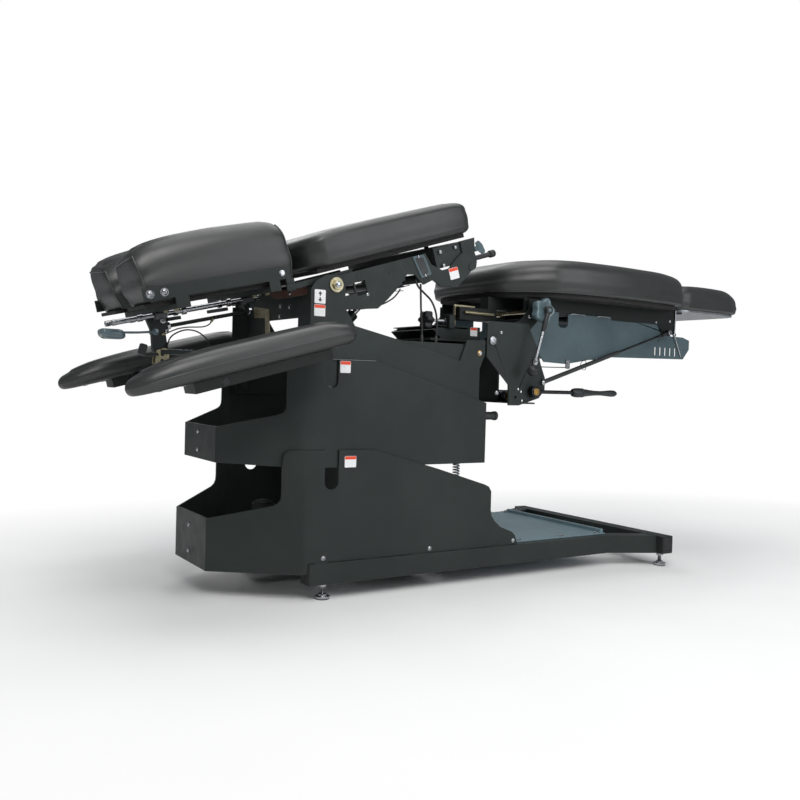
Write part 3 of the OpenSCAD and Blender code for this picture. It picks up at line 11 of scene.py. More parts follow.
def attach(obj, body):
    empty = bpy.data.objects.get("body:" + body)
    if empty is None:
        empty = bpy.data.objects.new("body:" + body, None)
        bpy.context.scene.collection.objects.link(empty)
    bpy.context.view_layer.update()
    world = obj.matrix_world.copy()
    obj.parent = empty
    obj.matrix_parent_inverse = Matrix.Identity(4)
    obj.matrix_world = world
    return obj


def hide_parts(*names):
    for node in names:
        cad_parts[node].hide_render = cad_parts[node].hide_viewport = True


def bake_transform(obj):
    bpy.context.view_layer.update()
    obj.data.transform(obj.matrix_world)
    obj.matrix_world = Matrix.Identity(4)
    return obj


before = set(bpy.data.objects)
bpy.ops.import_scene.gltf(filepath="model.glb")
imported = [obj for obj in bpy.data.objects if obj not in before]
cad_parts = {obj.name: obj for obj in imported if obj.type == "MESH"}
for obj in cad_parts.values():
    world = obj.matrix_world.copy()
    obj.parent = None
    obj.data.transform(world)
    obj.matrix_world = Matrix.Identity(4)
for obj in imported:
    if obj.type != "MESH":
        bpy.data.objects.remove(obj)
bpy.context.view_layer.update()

bl_info = {
    "name": "Elevating Treatment Table",
    "version": (1, 0, 0),
    "blender": (4, 5, 0),
    "location": "View3D > Sidebar > Table",
    "description": "Cushions, fittings, finishes and stage of an elevating treatment table",
    "category": "Object",
}

MM = 0.001
# Stations count along the table in millimetres; the frame's origin is at this one
DATUM = 1240
# Front pivot, as station and height, which the chest, head and arm sections are measured from
PIVOT = (734, 715)
CHEST_TILT = 17.5
HEAD_TILT = 13.5
ARM_TILT = 15


def section(tilt):
    """Millimetres along and square to a tilted section, turned into the frame's metres."""
    pivot = Vector(((PIVOT[0] - DATUM) * MM, 0, PIVOT[1] * MM))
    turn = Matrix.Rotation(-math.radians(tilt), 4, "Y")
    return Matrix.Translation(pivot) @ turn @ Matrix.Scale(MM, 4)


LEVEL = Matrix.Translation((-DATUM * MM, 0, 0)) @ Matrix.Scale(MM, 4)
CHEST = section(CHEST_TILT)
HEAD = section(HEAD_TILT)
ARM = section(ARM_TILT)


class TableSizes(bpy.types.PropertyGroup):
    """Sizes that a user would change"""

    piping: FloatProperty(name="Piping", description="Thickness of the sewn piping on the face cushions",
                          default=4.6 * MM, unit="LENGTH")
    edge: FloatProperty(name="Sheet edge", description="Rounding of the sheet steel's edges",
                        default=0.8 * MM, unit="LENGTH")
    staple_pitch: FloatProperty(name="Staple pitch", description="Distance between upholstery staples",
                                default=42 * MM, unit="LENGTH")
    plan_steps: IntProperty(name="Outline steps", description="Points around a cushion's outline",
                            default=144, min=36, max=288)
    side_steps: IntProperty(name="Side steps", description="Rings from a cushion's underside to its crown",
                            default=30, min=12, max=60)


class TableColours(bpy.types.PropertyGroup):
    """Colours that a user would change"""

    steel: FloatVectorProperty(name="Frame", description="Powder-coated frame", subtype="COLOR", size=3,
                               default=(0.014, 0.019, 0.018))
    guard: FloatVectorProperty(name="Guards", description="Painted guard panels", subtype="COLOR", size=3,
                               default=(0.060, 0.090, 0.102))
    vinyl: FloatVectorProperty(name="Vinyl", description="Upholstery", subtype="COLOR", size=3,
                               default=(0.018, 0.019, 0.019))
    zinc: FloatVectorProperty(name="Zinc", description="Yellow zinc plating", subtype="COLOR", size=3,
                              default=(0.46, 0.41, 0.27))
    silver: FloatVectorProperty(name="Bright steel", description="Nickel and chrome fittings",
                                subtype="COLOR", size=3, default=(0.48, 0.49, 0.51))
    plastic: FloatVectorProperty(name="Plastic", description="Moulded grips and knobs", subtype="COLOR",
                                 size=3, default=(0.012, 0.013, 0.014))
    floor: FloatVectorProperty(name="Floor", description="Studio floor", subtype="COLOR", size=3,
                               default=(0.95, 0.95, 0.95))


def sizes():
    return bpy.context.scene.table_sizes


def colours():
    return bpy.context.scene.table_colours


# Solids in millimetres


def rounded(outline, radius, steps=4):
    """An outline with each corner turned into an arc, as far as its sides allow."""
    made = []
    count = len(outline)
    for i, corner in enumerate(outline):
        here = Vector(corner)
        before = Vector(outline[i - 1]) - here
        after = Vector(outline[(i + 1) % count]) - here
        reach = min(radius, 0.45 * before.length, 0.45 * after.length)
        start = here + before.normalized() * reach
        end = here + after.normalized() * reach
        for k in range(steps + 1):
            t = k / steps
            made.append(tuple((1 - t) ** 2 * start + 2 * t * (1 - t) * here + t * t * end))
    return made


def rectangle(a, b, c, d, radius=0):
    """The outline between two values each way, with rounded corners where a radius is given."""
    outline = [(a, c), (b, c), (b, d), (a, d)]
    return rounded(outline, radius) if radius else outline


def angles(count):
    """Angles spread evenly around a full turn."""
    return [2 * math.pi * k / count for k in range(count)]


def thread(start, pitch, radius, depth, turns):
    """A screw thread's profile, from a distance along its axis."""
    return [(start + k * pitch, radius + depth * (k % 2)) for k in range(turns)]


UP = (0, 0, 1)
DOWN = (0, 0, -1)
TO_FOOT = (1, 0, 0)
TO_HEAD = (-1, 0, 0)
TO_NEAR = (0, -1, 0)
TO_FAR = (0, 1, 0)
# Away from the table's middle, on whichever side a solid stands
OUT = None
BOTH = (1, -1)


def both(*places):
    """Places repeated on both sides of the table."""
    return [(x, side * y, z) for side in BOTH for x, y, z in places]


class Piece:
    """Solids gathered in millimetres, then made into one piece of the table."""

    def __init__(self, place=LEVEL):
        self.mesh = bmesh.new()
        self.place = place
        self.paint = 0

    def face(self, corners):
        kept = [c for i, c in enumerate(corners) if c is not corners[i - 1]]
        if len(set(kept)) > 2:
            self.mesh.faces.new(kept).material_index = self.paint

    def loft(self, rings, ends=True):
        """Walls between rings of points; a ring of one point closes to a tip."""
        loops = [[self.mesh.verts.new(p) for p in ring] for ring in rings]
        for low, high in zip(loops, loops[1:]):
            count = max(len(low), len(high))
            for i in range(count):
                j = (i + 1) % count
                self.face([low[i % len(low)], low[j % len(low)], high[j % len(high)], high[i % len(high)]])
        for loop in (loops[0], loops[-1]) if ends else ():
            if len(loop) > 2:
                self.face(loop)
        return self

    def turned(self, start, axis, profile, sides=28, ring=False):
        """A round solid, or a ring that stays open: pairs of distance along the axis and radius."""
        if axis is OUT:
            axis = (0, math.copysign(1, start[1]), 0)
        axis = Vector(axis).normalized()
        side = axis.orthogonal().normalized()
        up = axis.cross(side)
        if ring:
            profile = [*profile, profile[0]]
        turn = angles(sides)
        return self.loft([[Vector(start) + axis * along + (side * math.cos(a) + up * math.sin(a)) * radius
                           for a in (turn if radius > 0 else turn[:1])] for along, radius in profile],
                         ends=not ring)

    def repeated(self, places, axis, profile, sides=28):
        """The same round solid at several places."""
        for at in places:
            self.turned(at, axis, profile, sides)
        return self

    def slab(self, outline, low, high, plane="xz"):
        """A flat plate from its outline, between two distances square to it."""
        place = {"xz": lambda a, b, c: (a, c, b), "xy": lambda a, b, c: (a, b, c),
                 "yz": lambda a, b, c: (c, a, b)}[plane]
        return self.loft([[place(a, b, c) for a, b in outline] for c in (low, high)])

    def block(self, x, y, z):
        return self.slab(rectangle(*x, *y), *z, "xy")

    def tube(self, points, d, sides=12):
        """A round rod along points, with flat ends."""
        points = [Vector(p) for p in points]
        last = len(points) - 1
        ways = [(points[min(i + 1, last)] - points[max(i - 1, 0)]).normalized() for i in range(last + 1)]
        side = ways[0].orthogonal().normalized()
        rings = []
        for point, way in zip(points, ways):
            side = (side - way * side.dot(way)).normalized()
            up = way.cross(side)
            rings.append([point + (side * math.cos(a) + up * math.sin(a)) * d / 2 for a in angles(sides)])
        return self.loft(rings)

    def screw_heads(self, places, axis, washer, profile, sides):
        """Heads of one profile, each on its washer; washer is a radius and a thickness."""
        radius, thick = washer
        for at in places:
            if thick:
                self.turned(at, axis, [(0, radius), (thick, radius)], 24)
            self.turned(at, axis, [(thick + along, reach) for along, reach in profile], sides)
        return self

    def hex_bolts(self, places, axis, size, washer=True):
        """Hexagon heads; size is the thread's diameter."""
        head = size * 1.75 / 2 / math.cos(math.pi / 6)
        tall = size * 0.62
        return self.screw_heads(places, axis, (size * 1.1, size * 0.16 * washer),
                                [(0, head), (tall * 0.8, head), (tall, head * 0.82)], 6)

    def button_screws(self, places, axis, size, washer=True):
        """Domed heads with a sunk socket; size is the thread's diameter."""
        radius, tall = size * 0.95, size * 0.55
        return self.screw_heads(places, axis, (size * 1.25, size * 0.14 * washer),
                                [(0, radius), (tall * 0.3, radius), (tall * 0.7, radius * 0.82),
                                 (tall, radius * 0.5), (tall, size * 0.34), (tall * 0.35, size * 0.32)], 24)

    def build(self, name, body, finish, bevel=0.0, crease=32.0, cover=()):
        """Makes the piece; finish is one finish or several, in the order of the paints used."""
        finishes = [finish] if isinstance(finish, str) else list(finish)
        bmesh.ops.transform(self.mesh, matrix=self.place, verts=self.mesh.verts)
        bmesh.ops.remove_doubles(self.mesh, verts=self.mesh.verts, dist=0.001 * MM)
        bmesh.ops.recalc_face_normals(self.mesh, faces=self.mesh.faces)
        for edge in self.mesh.edges:
            edge.smooth = len(edge.link_faces) == 2 and edge.calc_face_angle(0) < math.radians(crease)
        for f in self.mesh.faces:
            f.smooth = True
        mesh = bpy.data.meshes.new(name)
        self.mesh.to_mesh(mesh)
        self.mesh.free()
        piece = bpy.data.objects.new(name, mesh)
        bpy.context.scene.collection.objects.link(piece)
        for f in finishes:
            mesh.materials.append(finished(f))
        if bevel:
            round_edges(piece, bevel * MM)
        if body:
            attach(piece, body)
        if cover:
            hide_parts(*cover)
        return piece


def round_edges(piece, width):
    bevel = piece.modifiers.new("Edges", "BEVEL")
    bevel.width = width
    bevel.segments = 2
    bevel.limit_method = "ANGLE"
    bevel.angle_limit = math.radians(38)
    bevel.harden_normals = False


# Finishes


class Nodes:
    """A node tree being put together."""

    def __init__(self, tree):
        self.tree = tree

    def put(self, socket, value):
        if hasattr(value, "is_linked"):
            self.tree.links.new(value, socket)
        else:
            socket.default_value = value

    def made(self, kind, output, inputs, **settings):
        """An output of a new node, with the node's settings and inputs filled in."""
        node = self.tree.nodes.new("ShaderNode" + kind)
        for name, value in settings.items():
            setattr(node, name, value)
        for socket, value in inputs.items():
            self.put(node.inputs[socket], value)
        return node.outputs[output]

    def math(self, operation, a, b=0.0):
        return self.made("Math", 0, {0: a, 1: b}, operation=operation)

    def seen_directly(self):
        """1 for what the camera sees itself or through a clear piece, otherwise 0."""
        rays = self.tree.nodes.new("ShaderNodeLightPath").outputs
        return self.math("MAXIMUM", rays["Is Camera Ray"], rays["Is Transmission Ray"])


class Finish(Nodes):
    """A node material being put together."""

    def __init__(self, name, colour, metallic=0.0, roughness=0.5, **values):
        self.material = bpy.data.materials.new(name + "_finish")
        self.material.use_nodes = True
        super().__init__(self.material.node_tree)
        self.shader = self.tree.nodes["Principled BSDF"]
        self.colour = (*colour, 1.0)
        self.shader.inputs["Base Color"].default_value = self.colour
        self.shader.inputs["Metallic"].default_value = metallic
        self.shader.inputs["Roughness"].default_value = roughness
        for socket, value in values.items():
            self.shader.inputs[socket.replace("_", " ")].default_value = value
        self.where = self.tree.nodes.new("ShaderNodeTexCoord").outputs["Object"]

    def stretched(self, by):
        """The place on the piece, drawn out unevenly."""
        return self.made("Mapping", "Vector", {"Vector": self.where, "Scale": by})

    def noise(self, scale, detail=3.0, rough=0.55, where=None):
        return self.made("TexNoise", "Fac", {"Vector": where or self.where, "Scale": scale,
                                             "Detail": detail, "Roughness": rough})

    def cells(self, scale):
        """Distance to the borders of small cells."""
        return self.made("TexVoronoi", "Distance", {"Vector": self.where, "Scale": scale},
                         feature="DISTANCE_TO_EDGE")

    def spread(self, value, low, high, to_low, to_high):
        return self.made("MapRange", "Result", {"Value": value, "From Min": low, "From Max": high,
                                                "To Min": to_low, "To Max": to_high})

    def blend(self, share, a, b):
        return self.made("Mix", "Result", {"Factor": share, "A": a, "B": b}, data_type="RGBA")

    def upward(self):
        """How far a face looks up, from 0 to 1."""
        normal = self.tree.nodes.new("ShaderNodeNewGeometry").outputs["Normal"]
        return self.spread(self.made("SeparateXYZ", "Z", {0: normal}), 0.3, 1.0, 0.0, 1.0)

    def colour_by(self, share, other):
        """The base colour turns to another one where share is high."""
        self.put(self.shader.inputs["Base Color"], self.blend(share, self.colour, (*other, 1.0)))

    def roughness_by(self, value, low, high, rough_low, rough_high):
        self.put(self.shader.inputs["Roughness"], self.spread(value, low, high, rough_low, rough_high))

    def bump(self, *layers):
        """Relief from layers of height, strength and depth in millimetres, the last one on top."""
        below = {}
        for height, strength, depth in layers:
            normal = self.made("Bump", "Normal", {"Strength": strength, "Distance": depth * MM,
                                                  "Height": height, **below})
            below = {"Normal": normal}
        self.put(self.shader.inputs["Normal"], normal)


def lighter(colour, by):
    return tuple(min(1.0, c * by) for c in colour)


def powder_coat(name, colour, grain=900.0, depth=0.12, roughness=(0.40, 0.52)):
    """Powder coat: a fine orange peel, faint clouds, rubbed spots and settled dust."""
    coat = Finish(name, colour, roughness=0.45, Specular_IOR_Level=0.32)
    clouds = coat.noise(7.0, 5.0)
    rubbed = coat.spread(coat.noise(46.0, 7.0, 0.7), 0.63, 0.74, 0.0, 0.55)
    dust = coat.math("MULTIPLY", coat.upward(), coat.spread(coat.noise(19.0, 6.0), 0.4, 0.7, 0.03, 0.3))
    shade = coat.blend(coat.spread(clouds, 0.35, 0.65, 0.0, 1.0), coat.colour,
                       (*lighter(colour, 1.35), 1.0))
    shade = coat.blend(rubbed, shade, (*lighter(colour, 1.9), 1.0))
    shade = coat.blend(dust, shade, (*[0.05 + c for c in colour], 1.0))
    coat.put(coat.shader.inputs["Base Color"], shade)
    coat.roughness_by(coat.noise(30.0, 4.0), 0.3, 0.7, *roughness)
    coat.bump((coat.noise(120.0, 2.0), 0.12, 0.25), (coat.noise(grain, 2.0), 0.5, depth))
    return coat


def leather_cloth(name, colour):
    """Upholstery vinyl: pebbled grain in two sizes, soft handling creases and a satin film."""
    vinyl = Finish(name, colour, roughness=0.42, Specular_IOR_Level=0.6, Coat_Weight=0.15,
                   Coat_Roughness=0.35)
    patches = vinyl.noise(11.0, 5.0)
    vinyl.colour_by(vinyl.spread(patches, 0.3, 0.7, 0.0, 1.0), lighter(colour, 1.28))
    vinyl.roughness_by(vinyl.noise(26.0, 5.0), 0.3, 0.7, 0.34, 0.44)
    pebbles = vinyl.spread(vinyl.cells(620.0), 0.0, 0.28, 0.0, 1.0)
    creases = vinyl.noise(16.0, 4.0)
    pores = vinyl.noise(1500.0, 2.0)
    vinyl.bump((creases, 0.10, 1.5), (pebbles, 0.22, 0.22), (pores, 0.2, 0.08))
    return vinyl


def plated(name, colour, roughness, tint, brushed=(1, 60, 60)):
    """Plated steel: fine drawn lines, water marks in the plating and duller handled spots."""
    metal = Finish(name, colour, metallic=1.0, roughness=roughness)
    metal.colour_by(metal.spread(metal.noise(60.0, 5.0), 0.35, 0.65, 0.0, 0.8), tint)
    metal.roughness_by(metal.noise(140.0, 4.0), 0.3, 0.7, roughness * 0.75, roughness * 1.5)
    lines = metal.noise(26.0, 2.0, where=metal.stretched(brushed))
    metal.bump((lines, 0.03, 0.02), (metal.noise(900.0, 2.0), 0.05, 0.02))
    return metal


def moulding(name, colour, roughness=(0.34, 0.5), grain=1300.0, **values):
    """Moulded plastic or rubber: spark-eroded texture, flow marks and finger shine."""
    part = Finish(name, colour, roughness=0.42, **values)
    part.colour_by(part.spread(part.noise(34.0, 4.0), 0.35, 0.7, 0.0, 1.0), lighter(colour, 1.7))
    part.roughness_by(part.noise(52.0, 4.0), 0.35, 0.65, *roughness)
    part.bump((part.noise(160.0, 2.0), 0.10, 0.2), (part.noise(grain, 2.0), 0.35, 0.08))
    return part


def glossy_moulding(name, colour):
    """Moulded plastic with a lacquered shine."""
    return moulding(name, colour, (0.16, 0.26), 600.0, Coat_Weight=0.4, Coat_Roughness=0.12)


def stained_and_shaded_board(name, colour):
    """Stained board under the cushions, with long grain; its near-black colour is partly painted shade under
    the cushions.
    """
    board = Finish(name, colour, roughness=0.7)
    grain = board.noise(26.0, 6.0, where=board.stretched((1.0, 9.0, 30.0)))
    board.colour_by(board.spread(grain, 0.3, 0.7, 0.0, 1.0), (0.020, 0.018, 0.016))
    board.roughness_by(grain, 0.3, 0.7, 0.6, 0.85)
    board.bump((grain, 0.4, 0.3))
    return board


def enamel(name, colour):
    """Printed film: a smooth face with faint dirt."""
    film = Finish(name, colour, roughness=0.35)
    film.colour_by(film.spread(film.noise(150.0, 4.0), 0.5, 0.8, 0.0, 0.5), lighter(colour, 0.8))
    film.roughness_by(film.noise(300.0, 2.0), 0.3, 0.7, 0.3, 0.45)
    film.bump((film.noise(500.0, 2.0), 0.1, 0.05))
    return film


def spun_cloth(name, colour):
    """Spun cloth stapled under a cushion: crossed threads on a dark sheet."""
    cloth = Finish(name, colour, roughness=0.9)
    warp = cloth.noise(90.0, 3.0, where=cloth.stretched((1.0, 12.0, 12.0)))
    weft = cloth.noise(90.0, 3.0, where=cloth.stretched((12.0, 1.0, 12.0)))
    threads = cloth.math("MULTIPLY", warp, weft)
    cloth.colour_by(cloth.spread(threads, 0.15, 0.4, 0.0, 1.0), (0.045, 0.045, 0.047))
    cloth.bump((threads, 0.5, 0.4))
    return cloth


def bright_floor(name, colour):
    """A pale floor that keeps the table's shadow and turns to white away from it."""
    ground = Finish(name, colour, roughness=0.8)
    ground.roughness_by(ground.noise(3.0), 0.3, 0.7, 0.75, 0.9)
    ground.colour_by(ground.spread(ground.noise(1.3, 3.0), 0.3, 0.7, 0.0, 1.0), (0.88, 0.88, 0.88))
    reach = ground.made("VectorMath", "Value", {0: ground.stretched((0.8, 1.25, 1.0))}, operation="LENGTH")
    far = ground.spread(reach, 0.75, 1.9, 0.0, 1.0)
    white = ground.made("Emission", 0, {"Color": (1, 1, 1, 1), "Strength": 1.0})
    share = ground.math("MULTIPLY", far, ground.seen_directly())
    surface = ground.made("MixShader", 0, {0: share, 1: ground.shader.outputs[0], 2: white})
    ground.put(ground.tree.nodes["Material Output"].inputs["Surface"], surface)
    return ground


def recipes():
    """Each finish by name: its maker, its colour and whatever else that maker takes."""
    c = colours()
    return {
        "powder_coat": (powder_coat, c.steel),
        # painted shade: a darker copy of the frame's powder coat for the arm trays and leg frame, which sit
        # in shade under the cushions
        "dark_coat": (powder_coat, lighter(c.steel, 0.4)),
        "textured_cover": (powder_coat, lighter(c.steel, 1.25), 320.0, 0.5, (0.55, 0.72)),
        "brown_steel": (powder_coat, (0.070, 0.036, 0.028)),
        "guard_coat": (powder_coat, c.guard, 1200.0, 0.06, (0.34, 0.46)),
        "floor_coat": (powder_coat, lighter(c.guard, 2.2), 1200.0, 0.06, (0.30, 0.42)),
        "motor_coat": (powder_coat, (0.030, 0.032, 0.034), 500.0, 0.3),
        "vinyl": (leather_cloth, c.vinyl),
        # painted highlight: the piping's vinyl is made lighter to stand for the highlight along the sewn
        # piping; the leg cushion's edge trim takes it too
        "piping": (leather_cloth, lighter(c.vinyl, 1.25)),
        "zinc_plate": (plated, c.zinc, 0.32, (0.30, 0.27, 0.18)),
        "brass": (plated, (0.52, 0.33, 0.11), 0.28, (0.40, 0.24, 0.08)),
        "bright_steel": (plated, c.silver, 0.20, (0.30, 0.31, 0.33)),
        "oxide_steel": (plated, (0.035, 0.038, 0.042), 0.34, (0.060, 0.062, 0.066)),
        "cast_steel": (plated, (0.13, 0.135, 0.14), 0.42, (0.07, 0.07, 0.075)),
        "raw_edge": (plated, (0.40, 0.42, 0.44), 0.34, (0.25, 0.26, 0.27)),
        "moulded_plastic": (moulding, c.plastic),
        "rubber": (moulding, (0.010, 0.010, 0.011), (0.6, 0.8)),
        "cable_jacket": (moulding, (0.009, 0.009, 0.010), (0.4, 0.55), 700.0),
        "glossy_knob": (glossy_moulding, lighter(c.guard, 1.2)),
        # partly painted shade: the boards are darkened past their dark stain to near black, for the shade
        # under the cushions
        "lining_board": (stained_and_shaded_board, (0.008, 0.008, 0.008)),
        "dust_cloth": (spun_cloth, (0.014, 0.014, 0.015)),
        "white_enamel": (enamel, (0.82, 0.83, 0.84)),
        "orange_enamel": (enamel, (0.78, 0.06, 0.015)),
        "black_mark": (enamel, (0.012, 0.012, 0.014)),
        "studio_floor": (bright_floor, c.floor),
    }


def finished(name):
    """The named finish, made when it is first used."""
    made = bpy.data.materials.get(name + "_finish")
    if made:
        return made
    known = recipes()
    if name not in known:
        raise ValueError(f"there is no finish named {name}")
    maker, *values = known[name]
    return maker(name, *values).material


# Cushions


def smooth_lookup(table, at):
    """A value read from a table of pairs along a smooth curve that doesn't overshoot."""
    keys = [k for k, _ in table]
    i = max(0, min(len(table) - 2, sum(1 for k in keys[1:-1] if k <= at)))

    def slope(n):
        if n <= 0 or n >= len(table) - 1:
            return 0.0 if len(table) < 3 else rise(max(0, min(n, len(table) - 2)))
        a, b = rise(n - 1), rise(n)
        return 0.0 if a * b <= 0 else 2 * a * b / (a + b)

    def rise(n):
        return (table[n + 1][1] - table[n][1]) / (table[n + 1][0] - table[n][0])

    width = keys[i + 1] - keys[i]
    t = max(0.0, min(1.0, (at - keys[i]) / width))
    a, b = table[i][1], table[i + 1][1]
    return (a * (1 + 2 * t) * (1 - t) ** 2 + slope(i) * width * t * (1 - t) ** 2
            + b * t * t * (3 - 2 * t) + slope(i + 1) * width * t * t * (t - 1))


# Steps up a cushion's side, from 0 to 1, where its underside's roll ends and where its top's begins
ROLL_END = 0.25
WALL_END = 0.55


class Pad:
    """A cushion's form in millimetres along its own section.

    plan and crown give its half width and height as shares along its length. low and top are the
    heights of the rolls at its underside and its top, shoulder how far the top draws in, bulge how far
    the sides stand out and dome the crown's rise. lean lowers one long side, rake moves the head end's
    underside towards the foot, and ends are the shares of the draw-in at the head and foot ends.
    """

    def __init__(self, place, at, size, plan, crown, low, top, shoulder, bulge=1.5, dome=3.0, lean=0.0,
                 rake=0.0, ends=(1.0, 1.0)):
        self.place = place
        self.ends = ends
        self.at = at
        self.length, self.width, self.thick = size
        self.plan = plan
        self.crown = crown
        self.low = low
        self.top = top
        self.shoulder = shoulder
        self.bulge = bulge
        self.dome = dome
        self.lean = lean
        self.rake = rake

    def wall(self, side, high):
        """Inset and height on the side, from 0 at the underside to 1 where the top starts."""
        squash = min(1.0, 0.96 * high / (self.low + self.top))
        low, top = self.low * squash, self.top * squash
        if side < ROLL_END:
            a = side / ROLL_END * math.pi / 2
            return low * (1 - math.sin(a)), low * (1 - math.cos(a))
        if side < WALL_END:
            t = (side - ROLL_END) / (WALL_END - ROLL_END)
            return -self.bulge * math.sin(math.pi * t) ** 2, low + (high - low - top) * t
        a = (side - WALL_END) / (1 - WALL_END) * math.pi / 2
        return self.shoulder * (1 - math.cos(a)), high - top * (1 - math.sin(a))

    def settled(self, along, across, height, high):
        """A point moved by the cushion's rake and lean."""
        inner = max(0.0, (across * math.copysign(1, self.lean) + 1) / 2) if self.lean else 0.0
        share = height / high
        return Vector((self.at[0] + along * self.length + self.rake * (1 - share) * (1 - along),
                       self.at[1] + across * self.width / 2,
                       self.at[2] + height * (1 - abs(self.lean) * share * inner * inner)))

    def point(self, angle, side, proud=0.0):
        """The point at a plan angle and a side step."""
        share = (1 - math.cos(angle)) / 2
        half = smooth_lookup(self.plan, share) * (1 if math.sin(angle) >= 0 else -1)
        high = self.thick * smooth_lookup(self.crown, share)
        inset, height = self.wall(side, high)
        inset -= proud
        end_share = self.ends[0] + (self.ends[1] - self.ends[0]) * share
        drawn_in = inset * end_share if inset > 0 else inset
        along = 0.5 + (share - 0.5) * (1 - 2 * drawn_in / self.length)
        return self.settled(along, half * (1 - 2 * inset / self.width), height, high)

    def outline(self, side, count):
        """Points around the cushion at a side step."""
        return [self.point(a + math.pi / count, side) for a in angles(count)]

    def middle(self, side):
        return (self.point(math.pi / 2, side) + self.point(3 * math.pi / 2, side)) / 2

    def drawn_in(self, side, count, share):
        """The outline in plan, drawn in towards its middle."""
        middle = self.middle(side)
        return [tuple(middle.lerp(p, share).xy) for p in self.outline(side, count)]

    def top_ring(self, edge, share):
        """A ring on the crown, at a share of the way out from its middle to its edge."""
        along_edge = (edge.x - self.at[0]) / self.length
        across_edge = (edge.y - self.at[1]) / (self.width / 2)
        along = 0.5 + (along_edge - 0.5) * share
        across = across_edge * share
        high = self.thick * smooth_lookup(self.crown, along)
        spot = self.settled(along, across, high, high)
        spot.z += self.dome * (1 - share * share)
        return spot

    def cushion(self, name, node, body, fill):
        """The stuffed cushion itself, closed over its crown and its underside."""
        steps = sizes().side_steps
        rings = [self.outline(i / steps, sizes().plan_steps) for i in range(steps + 1)]
        closing = [[self.top_ring(p, share) for p in rings[-1]]
                   for share in (0.94, 0.84, 0.7, 0.53, 0.36, 0.18)]
        floor = self.middle(0)
        lining = [[p.lerp(floor, t) for p in rings[0]] for t in (0.75, 0.5, 0.25)]
        pad = Piece(self.place)
        pad.loft([[floor], *lining, *rings, *closing, [self.top_ring(self.middle(1), 0.0)]], ends=False)
        made = pad.build(name, body, "vinyl", crease=62, cover=[node])
        return made

    def end_seam(self, corner, proud):
        """The line of an end panel's seam: up one corner, across the top and down the other."""
        near = math.acos(1 - 2 * corner)
        low, high = 0.10, 0.80
        up = [self.point(near, low + (high - low) * k / 16, proud) for k in range(17)]
        sweep = -2 * near if corner < 0.5 else 2 * (math.pi - near)
        over = [self.point((near + sweep * k / 28) % (2 * math.pi), high, proud) for k in range(1, 28)]
        down = [self.point(2 * math.pi - near, high + (low - high) * k / 16, proud) for k in range(17)]
        return up + over + down

    def edge_line(self, side, start, end, steps, proud=0.0):
        """A line around the cushion at one side step, between two plan angles in degrees."""
        return [self.point(math.radians(start + (end - start) * k / steps), side, proud)
                for k in range(steps + 1)]


# Half widths along each cushion from its head end, and heights along its middle, as shares
FACE_PLAN = [(0, 0), (0.003, 0.9), (0.02, 0.96), (0.08, 0.99), (0.5, 1), (0.9, 0.98), (0.975, 0.94),
             (0.995, 0.86), (1, 0)]
FACE_CROWN = [(0, 0.78), (0.06, 0.84), (0.16, 0.91), (0.35, 0.97), (0.6, 1), (0.9, 1), (1, 0.97)]
CHEST_PLAN = [(0, 0), (0.004, 0.66), (0.02, 0.83), (0.05, 0.93), (0.1, 0.985), (0.3, 1), (0.8, 1),
              (0.93, 0.985), (0.975, 0.93), (0.993, 0.84), (0.998, 0.68), (1, 0)]
CHEST_CROWN = [(0, 0.9), (0.2, 0.985), (0.5, 1), (0.85, 0.995), (1, 0.93)]
ARM_PLAN = [(0, 0), (0.01, 0.3), (0.04, 0.58), (0.1, 0.82), (0.2, 0.96), (0.35, 1), (0.88, 1), (0.95, 0.9),
            (0.985, 0.68), (0.997, 0.4), (1, 0)]
ARM_CROWN = [(0, 0.62), (0.08, 0.78), (0.2, 0.94), (0.4, 1), (0.85, 1), (1, 0.8)]
LEG_PLAN = [(0, 0), (0.001, 0.2), (0.012, 0.42), (0.03, 0.56), (0.082, 0.71), (0.14, 0.83), (0.211, 0.93),
            (0.35, 0.985), (0.512, 1), (0.75, 0.965), (0.93, 0.905), (0.97, 0.84), (0.99, 0.7), (1, 0)]
LEG_CROWN = [(0, 0.72), (0.06, 0.86), (0.16, 0.96), (0.35, 1), (0.8, 1), (0.93, 0.95), (1, 0.82)]
ANKLE_PLAN = [(0, 0), (0.003, 0.75), (0.02, 0.88), (0.06, 0.96), (0.15, 1), (0.7, 0.99), (0.88, 0.93),
              (0.95, 0.85), (0.985, 0.7), (0.997, 0.5), (1, 0)]
ANKLE_CROWN = [(0, 0.9), (0.15, 0.98), (0.4, 1), (0.75, 0.98), (0.9, 0.86), (1, 0.6)]
ARM_HALF = 306


def face_pad(side):
    return Pad(HEAD, (-440, side * 113, 28), (357, 158, 142), FACE_PLAN, FACE_CROWN, low=10, top=54,
               shoulder=46, bulge=4.0, dome=4.0, lean=-side * 0.14, rake=26, ends=(0.28, 0.66))


def arm_pad(side):
    return Pad(ARM, (-537, side * ARM_HALF, -127), (504, 106, 56), ARM_PLAN, ARM_CROWN, low=22, top=28,
               shoulder=24, bulge=0.5, dome=4.0)


CHEST_PAD = Pad(CHEST, (-58, 0, 43.5), (476, 476, 82), CHEST_PLAN, CHEST_CROWN, low=15, top=20, shoulder=24,
                bulge=1.5, dome=5.0)
LEG_PAD = Pad(LEVEL, (1246, 0, 747), (668, 544, 92), LEG_PLAN, LEG_CROWN, low=7, top=36, shoulder=42,
              bulge=3.0, dome=6.0, ends=(0.6, 0.6))
ANKLE_PAD = Pad(LEVEL, (1925, 0, 745), (312, 400, 76), ANKLE_PLAN, ANKLE_CROWN, low=7, top=34, shoulder=36,
                bulge=2.0, dome=4.0)
SIDES = (("left", 1), ("right", -1))


